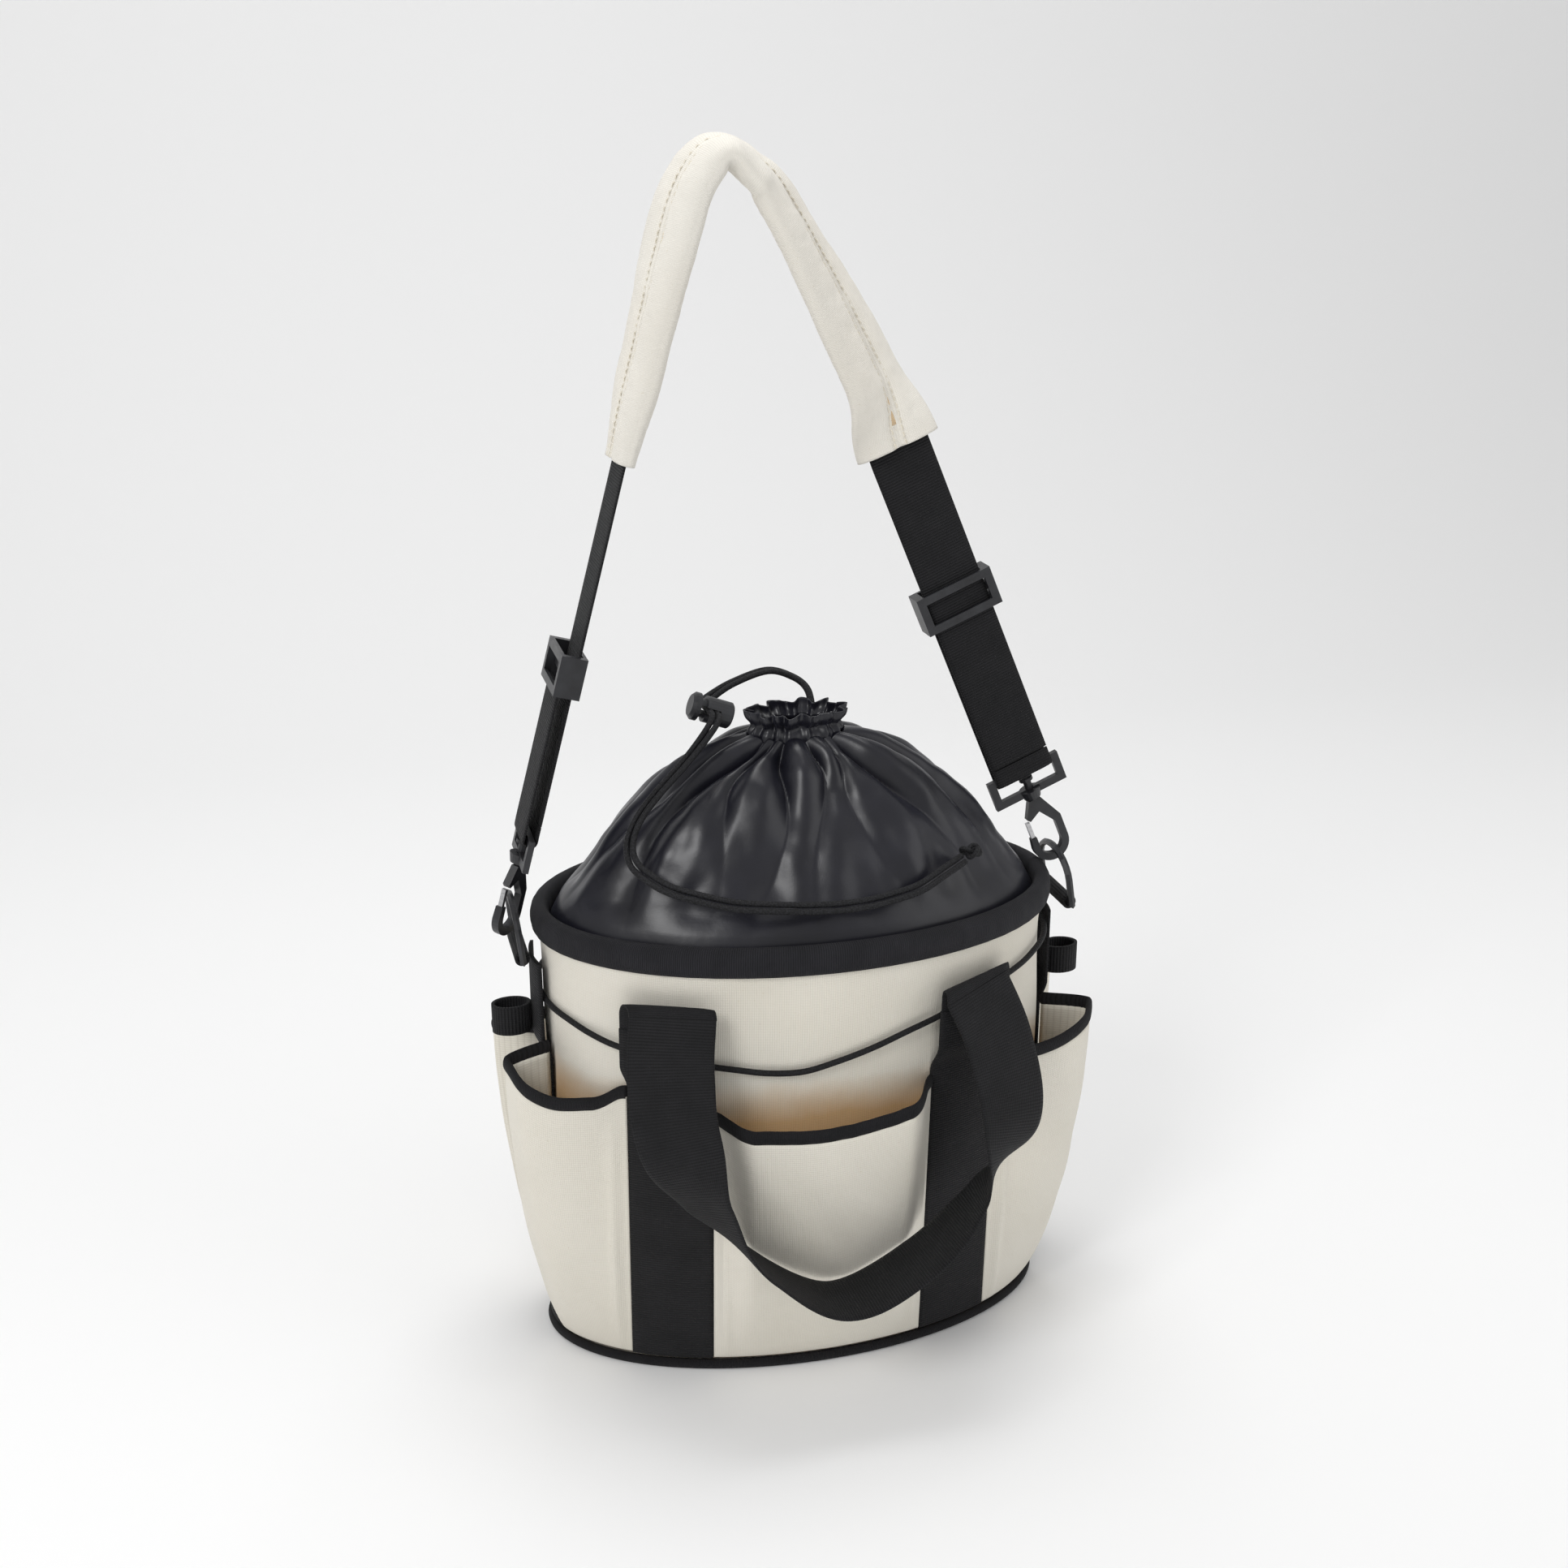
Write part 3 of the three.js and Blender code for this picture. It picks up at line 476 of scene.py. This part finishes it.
def make_knot():
    """An overhand knot where both strands end."""
    radius = CORD * 0.95
    end = Vector(CORD_ROUTE[-1]) + Vector((6, 3, 3))
    knot = []
    for i in range(61):
        t = 2 * math.pi * i / 60
        loop = Vector((math.sin(t) + 2 * math.sin(2 * t),
                       (math.cos(t) - 2 * math.cos(2 * t)) * 0.8,
                       -math.sin(3 * t) * 1.1))
        knot.append(end + loop * radius * 0.62)
    return tube("drawcord_knot_loops", knot, CORD * 0.8, DRAWCORD, "bag", "cord", "drawcord_knot", steps=3)[0]


def make_drawcord():
    knot = make_knot()
    for number, side in ((1, 1), (2, -1)):
        piece, start, length = tube(f"drawcord_{number}", strand_points(side), CORD, DRAWCORD, "bag", "cord",
                                    f"drawcord_strand_{number}")


ELASTIC_SWAGS = [
    (-180, 222), (-150, 232), (-110, 240), (-90, 238), (-67, 231), (-50, 222), (-25, 214), (-10, 208),
    (4, 217), (14, 226), (39, 243), (60, 249), (90, 252), (120, 240), (150, 228), (180, 222)]


def make_elastic():
    points = []
    for i in range(49):
        from_front = mix(-179.99, 179.99, i / 48)
        (a, low), (b, high) = next(pair for pair in zip(ELASTIC_SWAGS, ELASTIC_SWAGS[1:])
                                   if from_front <= pair[1][0])
        z = mix(low, high, (from_front - a) / (b - a))
        points.append(on_tub(math.radians(from_front - 90), z, ELASTIC / 2 + GAP))
    tube("elastic_loop", points, ELASTIC, ELASTIC_CORD, "bag", "cord", "elastic_cord", steps=8)


make_drawcord()
make_elastic()


# Tub ------------------------------------------------------------------------------------------
def make_tub():
    def wall(u, v, w):
        angle = 2 * math.pi * u
        z = mix(WALL_FOOT, RIM_HEIGHT - 3, v)
        crease = 2.2 * wander(90 * math.cos(angle), 90 * math.sin(angle), z * 0.7, 40) * ease(v, 0, 0.3) - 0.8
        pull = -1.2 * bump_at(v, 0.86, 0.09) * (0.5 + 0.5 * math.cos(6 * angle + 0.6))
        return on_tub(angle, z, (w - 1) * CANVAS + min((crease + pull) * ease(v, 1.0, 0.93), 0.1))
    perimeter = 2 * math.pi * math.sqrt((BASE_LENGTH ** 2 + BASE_DEPTH ** 2) / 2)
    tub = cloth("tub_wall", wall, (220, 64), (perimeter, RIM_HEIGHT), closed=True)
    dress(tub, TUB_CREAM_POCKET_SHADE, "bag", "canvas", "body_wall")

    def floor(u, v, w):
        angle = 2 * math.pi * u
        share = mix(0.02, 1, v)
        ripple = wander(share * 90 * math.cos(angle), share * 90 * math.sin(angle), 0, 20)
        return Vector((share * (BASE_LENGTH - CANVAS - GAP) * math.cos(angle),
                       share * (BASE_DEPTH - CANVAS - GAP) * math.sin(angle),
                       w * 2.2 + 0.15 * ripple * w + 0.02))
    dress(cloth("tub_floor", floor, (96, 20), (perimeter, BASE_DEPTH), closed=True), CREAM, "bag", "canvas",
          "base_panel")


def make_rim():
    half_width, half_fall = RIM_WIDTH / 2, RIM_FALL / 2

    def rim(u, v, w):
        angle = 2 * math.pi * u
        around = math.pi * v if w else math.pi * (2 - v)
        soft = wander(120 * math.cos(angle), 120 * math.sin(angle), 3, 18)
        ripple = 0.35 * math.sin(58 * angle) + 0.5 * soft
        c, s = math.cos(around), math.sin(around)
        out = (half_width - 0.3 + ripple * 0.4) * math.copysign(abs(s) ** 0.75, s)
        up = -half_fall * math.copysign(abs(c) ** 0.85, c)
        return Vector(((TOP_LENGTH - 1 + out) * math.cos(angle), (TOP_DEPTH - 1 + out) * math.sin(angle),
                       RIM_HEIGHT + up))
    dress(cloth("rim_roll", rim, (420, 12), (820, 50), closed=True), RIM_WEB, "bag", "webbing", "rim_binding")

    def piping(u, v, w):
        angle = 2 * math.pi * u
        around = math.pi * v if w else math.pi * (2 - v)
        out, up = 3 * math.sin(around), -3 * math.cos(around)
        length, depth = BASE_LENGTH + 1 + out, BASE_DEPTH + 1 + out
        return Vector((length * math.cos(angle), depth * math.sin(angle), 3 + up))
    edge = cloth("base_edge", piping, (220, 6), (800, 19), closed=True)
    dress(edge, BINDING, "bag", "webbing", "base_piping")


FOLDS = [(0.15, 1.0), (0.55, 0.7), (0.95, 1.1), (1.45, 0.8), (1.9, 1.0), (2.4, 0.7), (2.85, 1.0), (3.3, 0.9),
         (3.75, 1.1), (4.1, 0.8), (4.42, 1.2), (4.75, 1.0), (5.05, 0.8), (5.4, 1.1), (5.85, 0.9)]


def fold_depth(angle, q):
    """Sharp valleys running out from the gathered neck, shallower towards the rim."""
    depth = 0
    for centre, size in FOLDS:
        swing = centre + 0.10 * math.sin(7 * q + 5 * centre)
        away = abs((angle - swing + math.pi) % (2 * math.pi) - math.pi)
        depth += size * math.exp(-(away / (0.07 + 0.09 * q)) ** 1.15)
    return depth * 11.5 * ease(q, 0.12, 0.34) * (1 - 0.82 * ease(q, 0.5, 0.98))


def hood_height(q):
    return mix(HOOD_SPRING, HOOD_TOP, 1 - q ** HOOD_CURVE)


def make_hood():
    def hood(u, v, w):
        angle = 2 * math.pi * u
        q = mix(1, NECK_SHARE, v) if v > 0.04 else 1
        x, y = q * HOOD_LENGTH * math.cos(angle), q * HOOD_DEPTH * math.sin(angle)
        z = hood_height(q) if v > 0.04 else mix(RIM_HEIGHT - RIM_FALL / 2, hood_height(1), v / 0.04)
        crinkle = 1.6 * wander(x, y, z, 34) + 0.7 * wander(x + 50, y, z, 13)
        crinkle += 1.5 * wander(angle * 60, q * 22, 0, 9) * ease(q, 0.25, 0.5)
        skirt = 4.2 * bump_at(q, 0.86, 0.14) * wander(x, y * 1.4, 9, 30)
        depth = min(-fold_depth(angle, q) + (crinkle + skirt) * ease(q, 1.0, 0.9) - 1.2, 0.2)
        slope = HOOD_CURVE * (HOOD_TOP - HOOD_SPRING) * q ** (HOOD_CURVE - 1) / 120
        normal = Vector((math.cos(angle) * slope, math.sin(angle) * slope * 1.4, 1)).normalized()
        return Vector((x, y, z)) + normal * (depth * ease(v, 0.02, 0.12) - (0 if w else 0.8))
    dress(cloth("hood_cloth", hood, (480, 110), (700, 150), closed=True), NYLON, "bag", "nylon", "hood")

    def ruffle(u, v, w):
        angle = 2 * math.pi * u
        gather = math.sin(17 * angle + 1.3 * math.sin(3 * angle)) + 0.4 * math.sin(29 * angle)
        rise = 19 * v
        flare = -1.5 - 3.0 * bump_at(v, 0.55, 0.16) + (0.6 + 3.6 * v) * 0.5 * gather + 1.0 * v
        length, depth = NECK_SHARE * HOOD_LENGTH + flare, NECK_SHARE * HOOD_DEPTH + flare
        top = HOOD_TOP - 10 + rise + 1.2 * math.sin(11 * angle) * v
        inset = 0 if w else 0.8
        return Vector(((length - inset) * math.cos(angle), (depth - inset) * math.sin(angle), top))
    gathered = cloth("hood_ruffle", ruffle, (420, 22), (180, 18), closed=True)
    dress(gathered, NYLON, "bag", "nylon", "hood_channel")


make_tub()
make_rim()
make_hood()


# Pockets --------------------------------------------------------------------------------------
STRAP_GAP = STRAP_WIDTH / 2 + 2 * GAP
WEB_GAP = GAP / BASE_DEPTH


def strap_edge(z):
    return side_angle(-STRAP_GAP, z)


def left_span(u, z):
    return mix(-math.pi - strap_edge(z), front_angle(web_edges(WEB_CENTRES[0])[0], z) - WEB_GAP, u)


def centre_span(u, z):
    return mix(front_angle(web_edges(WEB_CENTRES[0])[1], z) + WEB_GAP,
               front_angle(web_edges(WEB_CENTRES[1])[0], z) - WEB_GAP, u)


def right_span(u, z):
    return mix(front_angle(web_edges(WEB_CENTRES[1])[1], z) + WEB_GAP, strap_edge(z), u)


POCKETS = {
    "left": (left_span, lambda u: mix(203, 182, ease(u, 0, 0.6)) + 8 * ease(u, 0.75, 1),
             lambda u: 32 * ease(u, -0.02, 0.1) * (1 - 0.97 * ease(u, 0.25, 1))),
    "centre": (centre_span, lambda u: mix(177, 186, u) - 6 * math.sin(math.pi * u) ** 2,
               lambda u: 24 * ease(u, -0.02, 0.2) * (1 - ease(u, 0.8, 1.02))),
    "right": (right_span,
              lambda u: mix(190, 196, ease(u, 0.4, 1)) - 6 * ease(u, 0, 0.3) * (1 - ease(u, 0.3, 0.7)),
              lambda u: 32 * (1 - ease(u, 0.9, 1.02)) * ease(u, 0, 0.75)),
}


def pocket_off(u, z, top, bulge):
    share = min(max((z - POCKET_FOOT) / (top - POCKET_FOOT), 0), 1.1)
    return GAP + bulge(u) * math.sin(math.pi / 2 * min(share, 1)) ** 0.7


def make_pocket(facing, yaw, name, span, top, bulge):
    width = {"left": 85, "centre": 150, "right": 95}[name]

    def pocket(u, v, w):
        z = mix(POCKET_FOOT, top(u), v ** 1.4)
        share = math.sin(math.pi * u) * math.sin(math.pi * min(v, 1))
        soft = (2.4 * wander(u * width, z * 0.55, 5 + yaw, 38)
                + 1.3 * wander(u * width + z * 0.7, z * 0.35, 11 + yaw, 17)) * share
        from_web = min(width * u if name != "left" else width, width * (1 - u) if name != "right" else width)
        pleat = 3.4 * bump_at(from_web, 9, 4.5) * math.sin(math.pi * min(v * 1.04, 1)) ** 0.6
        return on_tub(span(u, z), z, max(pocket_off(u, z, top(u), bulge) + soft + pleat, GAP) + w * CANVAS)
    piece = cloth(f"{facing}_pocket_{name}_cloth", turned(pocket, yaw), (80, 60), (width, 180))
    dress(piece, CREAM, "bag", "canvas", f"{facing}_pocket_{name}")

    def binding(u, v, w):
        around = math.pi * v if w else math.pi * (2 - v)
        out = CANVAS / 2 + 2.1 * math.sin(around)
        up = (POCKET_BINDING / 2 + 0.6) * -math.cos(around) + POCKET_BINDING / 2 - 1
        z = top(u) + up + 0.35 * wander(u * width, 3, yaw, 7)
        off = max(pocket_off(u, top(u), top(u), bulge) + out, GAP)
        return on_tub(span(u, top(u)), z, off)
    piece = cloth(f"{facing}_pocket_{name}_hem", turned(binding, yaw), (110, 8), (width, 18))
    dress(piece, BINDING, "bag", "webbing", f"{facing}_pocket_{name}_binding")


# Webs and handles -----------------------------------------------------------------------------
FOLD_HEIGHT = RISER_TOP + 4
FOLD_DEPTH = half_sizes(FOLD_HEIGHT)[1]


def hinge_y(x):
    return -FOLD_DEPTH * math.sqrt(1 - (x / half_sizes(FOLD_HEIGHT)[0]) ** 2) - RISER_STAND - 6


HANDLE_TOPS = [(x * 1.02, hinge_y(x), FOLD_HEIGHT) for x in WEB_CENTRES]
HANDLE_ROUTE = [
    HANDLE_TOPS[0], (-101, -104, 222), (-100, -117, 186), (-86, -127, 146), (-56, -132, 107), (-10, -135, 77),
    (40, -133, 95), (78, -128, 130), (99, -125, 172), (96, -109, 217), HANDLE_TOPS[1]]
HANDLE_FACINGS = [
    (1, -0.35, 0), (1, -0.35, 0), (1, -0.5, -0.1), (0.8, -1, -0.3), (0.25, -1, -0.05), (0, -1, 0.12),
    (-0.25, -1, -0.05), (-0.6, -0.9, -0.4), (-0.9, -0.5, -0.2), (-1, -0.4, 0), (-1, -0.4, 0)]


def make_web(facing, yaw, number, centre):
    left, right = web_edges(centre)

    def web(u, v, w):
        z = mix(WALL_FOOT + 2, RISER_TOP - 8, v)
        off = GAP + RISER_STAND * ease(z, SEWN_HEIGHT, SEWN_HEIGHT + 18) + w * WEBBING
        return on_tub(front_angle(mix(left, right, u), z), z, off)
    piece = cloth(f"{facing}_web_{number}_strip", turned(web, yaw), (16, 90), (WEB_WIDTH, 240))
    dress(piece, WEB_UP, "bag", "webbing", f"{facing}_web_{number}")


HANDLE_FRAME, HANDLE_LENGTH = band_frame(HANDLE_ROUTE, HANDLE_FACINGS)


def make_fold(facing, yaw, number, centre):
    """The top of a handle leg, where the webbing turns over."""
    left, right = web_edges(centre)
    point, across, _ = HANDLE_FRAME(0 if number == 1 else 1)
    if number == 2:
        across = -across
    turn_rise = 7

    def fold(u, v, w):
        foot = on_tub(front_angle(mix(left, right, v), RISER_TOP), RISER_TOP, GAP + RISER_STAND + WEBBING / 2)
        leg = point + across * (v - 0.5) * WEB_WIDTH
        away = Vector((foot[0] - leg[0], foot[1] - leg[1], 0))
        reach = away.length / 2
        away.normalize()
        soft = (w - 0.5) * WEBBING * (1 - 0.5 * abs(2 * v - 1) ** 8)
        if u < 0.3:
            height = mix(RISER_TOP - 9, RISER_TOP, u / 0.3)
            base = on_tub(front_angle(mix(left, right, v), height), height, GAP + RISER_STAND + WEBBING / 2)
            return base + away * soft
        swing = math.pi * (u - 0.3) / 0.7
        middle = foot.lerp(leg, 0.5)
        sag = 0.8 * math.cos(math.pi * (v - 0.5)) * math.sin(swing)
        rise = (turn_rise + soft + sag) * math.sin(swing) + (foot[2] - leg[2]) * math.cos(swing) / 2
        return middle + away * (reach + soft) * math.cos(swing) + Vector((0, 0, rise))
    piece = cloth(f"{facing}_fold_{number}", turned(fold, yaw), (60, 16), (45, WEB_WIDTH))
    piece.data.materials.append(WEB)
    top = on_tub(front_angle(centre, RISER_TOP), RISER_TOP, GAP + RISER_STAND)
    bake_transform(piece)


def make_handle(facing, yaw):
    piece = strap_piece(f"{facing}_handle_loop", HANDLE_FRAME, HANDLE_LENGTH, WEB_WIDTH, WEBBING, 220)
    if yaw:
        for vertex in piece.data.vertices:
            vertex.co.x, vertex.co.y = -vertex.co.x, -vertex.co.y
    dress(piece, WEB, f"{facing}_handle", "webbing", f"{facing}_handle")


WEB_UP = webbing_material("black_webbing_upright", along=1)
for FACING, YAW in (("front", 0), ("rear", 1)):
    for NAME, (SPAN, TOP, BULGE) in POCKETS.items():
        make_pocket(FACING, YAW, NAME, SPAN, TOP, BULGE)
    for NUMBER, CENTRE in enumerate(WEB_CENTRES, 1):
        make_web(FACING, YAW, NUMBER, CENTRE)
        make_fold(FACING, YAW, NUMBER, CENTRE)
    make_handle(FACING, YAW)


# Side straps, ring keepers and tool loops -----------------------------------------------------
STRAP_STAND = ELASTIC + 2 * GAP + 0.6
BAR_RADIUS = 2.2


def make_side(side, sign):
    ring = SIDES[side]["ring"]
    top = ring[1] - BAR_RADIUS - 2 * GAP - WEBBING
    half = STRAP_WIDTH / 2

    def strap(u, v, w):
        z = mix(WALL_FOOT + 2, top, v)
        y = mix(-half, half, u) * sign
        off = mix(GAP, STRAP_STAND, ease(z, SEWN_HEIGHT, SEWN_HEIGHT + 14)) + w * WEBBING
        return Vector((on_tub(side_angle(y, z), z, off)[0] * sign, y, z))
    dress(cloth(f"side_strap_{side}_strip", strap, (12, 80), (STRAP_WIDTH, 250)), WEB_UP, "bag", "webbing",
          f"side_strap_{side}")

    def keeper(u, v, w):
        angle = 2 * math.pi * u
        radius = BAR_RADIUS + GAP + (WEBBING if w else 0)
        return Vector((ring[0] + radius * math.cos(angle), mix(-half, half, v),
                       ring[1] + radius * math.sin(angle)))
    dress(cloth(f"ring_keeper_{side}_loop", keeper, (40, 14), (24, STRAP_WIDTH), closed=True), WEB, "bag",
          "webbing", f"ring_keeper_{side}")

    start = TOP_LENGTH + STRAP_STAND + WEBBING + GAP

    def tool_loop(u, v, w):
        angle = 2 * math.pi * u
        thick = WEBBING if w else 0
        return Vector((sign * (start + 12 + (10 + thick) * math.cos(angle)), (7 + thick) * math.sin(angle),
                       mix(210, 228, v)))
    dress(cloth(f"tool_loop_{side}_band", tool_loop, (60, 10), (60, 18), closed=True), WEB, "bag", "webbing",
          f"tool_loop_{side}")


for SIDE, SIGN in (("left", -1), ("right", 1)):
    make_side(SIDE, SIGN)


# Shoulder strap -------------------------------------------------------------------------------
def place_local(side, point):
    lean, twist = math.radians(SIDES[side]["lean"]), math.radians(SIDES[side]["leg_twist"])
    x, y, z = point
    x, y = x * math.cos(twist) - y * math.sin(twist), x * math.sin(twist) + y * math.cos(twist)
    bar = SIDES[side]["bar"]
    return Vector((bar[0] + x * math.cos(lean) + z * math.sin(lean), y,
                   bar[1] - x * math.sin(lean) + z * math.cos(lean)))


def leg_points(side):
    off = -(LAYER_GAP / 2 + WEBBING / 2)
    row = SIDES[side]
    heights = (10, row["slider"], row["pad_end"], row["pad_end"] + 60)
    return [place_local(side, (0, off, z)) for z in heights]


def leg_across(side):
    return place_local(side, (1, 0, 0)) - place_local(side, (0, 0, 0))


STRAP_ROUTE = [*leg_points("left"), Vector((-68, 0, 680)), Vector((-56, 0, 706)), Vector((-43, 0, 716)),
               Vector((-26, 0, 707)), Vector((-8, 0, 686)), *reversed(leg_points("right"))]
STRAP_FACINGS = [leg_across("left")] * 3 + [
    (-0.15, 1, 0), (-0.3, 1, 0), (-0.2, 1, 0.1), (-0.1, 1, 0.1), (0.15, 1, 0.2), (0.4, 1, 0.3),
    (0.8, 0.9, 0.4)] + [leg_across("right")] * 3
PAD_SPAN = (16 / 60, 44 / 60)
FOAM_SPAN = (17 / 60, 43 / 60)


def make_shoulder_webbing(frame_at, total):
    piece = strap_piece("shoulder_strap_webbing", frame_at, total, STRAP_WIDTH, WEBBING, 300)
    dress(piece, WEB, "shoulder_strap", "webbing", "shoulder_webbing")
    for side, row in SIDES.items():
        radius = LAYER_GAP / 2 + WEBBING / 2
        points = [(0, radius, z) for z in (row["slider"] - 8, row["slider"] * 0.6, row["slider"] * 0.25)]
        points += [(0, radius * math.cos(a), -radius * math.sin(a)) for a in
                   (math.radians(d) for d in range(0, 181, 30))]
        points += [(0, -radius, 4), (0, -radius, 9)]
        placed = [place_local(side, p) for p in points]
        frame_return, length = band_frame(placed, [leg_across(side)] * len(placed))
        piece = strap_piece(f"webbing_turn_{side}", frame_return, length, STRAP_WIDTH, WEBBING, 120)
        dress(piece, WEB, "shoulder_strap", "webbing", f"webbing_return_{side}")


def make_pad(frame_at, total):
    def pad(u, v, w):
        angle = 2 * math.pi * u
        share = mix(PAD_SPAN[0], PAD_SPAN[1], v)
        point, across, out = frame_at(share)
        c, s = math.cos(angle), math.sin(angle)
        end = 1 - 0.5 * (bump_at(v, 0, 0.05) + bump_at(v, 1, 0.05))
        half_width = PAD_WIDTH / 2 + 0.8 * wander(v * 300, 0, 1, 40)
        side = half_width * math.copysign(abs(c) ** 0.8, c)
        channel = 1 - 0.42 * bump_at(side, 0, 4.5)
        thick = PAD_THICKNESS / 2 * math.copysign(abs(s) ** 0.75, s) * mix(0.5, 1, end) * channel
        pucker = 0.7 * wander(side, v * 440, 4, 16) + 0.5 * wander(side * 2, v * 440, 9, 7)
        inner = 0 if w else -1.4
        return point + across * (side + inner * c) + out * (thick + inner * s + pucker * s)
    length = total * (PAD_SPAN[1] - PAD_SPAN[0])
    piece = cloth("shoulder_pad", pad, (96, 260), (150, length), closed=True)
    dress(piece, PAD_CREAM, "shoulder_strap", "canvas", "pad_cover")
    make_pad_stitches(frame_at, length)
    foam = strap_piece("shoulder_pad_foam", frame_at, total, STRAP_WIDTH, 2, 80, FOAM_SPAN, 3.9)
    dress(foam, SHADED_CANVAS, "shoulder_strap", "foam", "pad_foam")


def make_pad_stitches(frame_at, length):
    """Two rows of stitches along the middle of the pad, on both faces."""
    count = int(length / 4.2)
    points, faces = [], []
    for row in (-3.4, 3.4):
        for face in (1, -1):
            for i in range(count):
                share = mix(PAD_SPAN[0], PAD_SPAN[1], (i + 0.5) / count)
                nearer = mix(PAD_SPAN[0], PAD_SPAN[1], (i + 0.12) / count)
                further = mix(PAD_SPAN[0], PAD_SPAN[1], (i + 0.88) / count)
                channel = 1 - 0.42 * bump_at(row, 0, 4.5)
                lift = face * (PAD_THICKNESS / 2 * channel * 0.995 + 0.1)
                first = len(points)
                for place, high in ((nearer, -0.3), (share, 0.35), (further, -0.3)):
                    point, across, out = frame_at(place)
                    centre = point + across * row + out * (lift + face * high)
                    points += [centre + across * 0.45, centre + out * 0.4 * face, centre - across * 0.45]
                for k in range(2):
                    a, b = first + 3 * k, first + 3 * k + 3
                    faces += [(a, a + 1, b + 1, b), (a + 1, a + 2, b + 2, b + 1)]
    dress(link_mesh("pad_stitches", points, faces), THREAD, "shoulder_strap", "canvas")


STRAP_FRAME, STRAP_LENGTH = band_frame(STRAP_ROUTE, STRAP_FACINGS, 800)
make_shoulder_webbing(STRAP_FRAME, STRAP_LENGTH)
make_pad(STRAP_FRAME, STRAP_LENGTH)


# Hard pieces keep their own shape ------------------------------------------------------------------
def finish_hardware():
    for name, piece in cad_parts.items():
        hard = name.startswith(("slider", "hook", "d_ring", "cord_lock"))
        if not hard:
            continue
        piece.data.materials.clear()
        piece.data.materials.append(STEEL if "gate" in name else PLASTIC)
        soften = piece.modifiers.new("soft_edges", "BEVEL")
        soften.width = 0.0006
        soften.segments = 3
        soften.limit_method = "ANGLE"
        soften.angle_limit = math.radians(35)


finish_hardware()


# Studio ---------------------------------------------------------------------------------------
def make_floor():
    mesh = bpy.data.meshes.new("floor")
    width, back, rise = 4, 2.2, 3
    profile = [(-4, 0)] + [(back - 1 + math.sin(a) * 1, 1 - math.cos(a)) for a in
                           (math.pi / 2 * i / 16 for i in range(17))] + [(back, rise)]
    points = [(x, y, z) for y, z in profile for x in (-width, width)]
    faces = [(2 * i, 2 * i + 1, 2 * i + 3, 2 * i + 2) for i in range(len(profile) - 1)]
    mesh.from_pydata(points, [], faces)
    mesh.polygons.foreach_set("use_smooth", [True] * len(mesh.polygons))
    floor = bpy.data.objects.new("floor", mesh)
    bpy.context.scene.collection.objects.link(floor)
    look = Look("studio_floor", (0.93, 0.93, 0.93), 0.9)
    floor.data.materials.append(look.finish())


def make_lamp(name, place, energy, size, target=(0, 0, 0.3)):
    lamp = bpy.data.lights.new(name, "AREA")
    lamp.energy = energy
    lamp.size = size
    light = bpy.data.objects.new(name, lamp)
    light.location = place
    light.rotation_euler = (Vector(place) - Vector(target)).to_track_quat("Z", "Y").to_euler()
    bpy.context.scene.collection.objects.link(light)


def make_world():
    world = bpy.data.worlds.new("studio")
    world.use_nodes = True
    world.node_tree.nodes["Background"].inputs[0].default_value = (1, 1, 1, 1)
    world.node_tree.nodes["Background"].inputs[1].default_value = 0.55
    bpy.context.scene.world = world


make_floor()
make_lamp("key", (-1.6, -1.5, 1.9), 24, 0.9)
make_lamp("fill", (1.8, -1.2, 1.1), 7, 1.6)
make_lamp("top", (0.1, 0.4, 2.2), 14, 1.0)
make_world()
bpy.context.scene.view_settings.view_transform = "Standard"
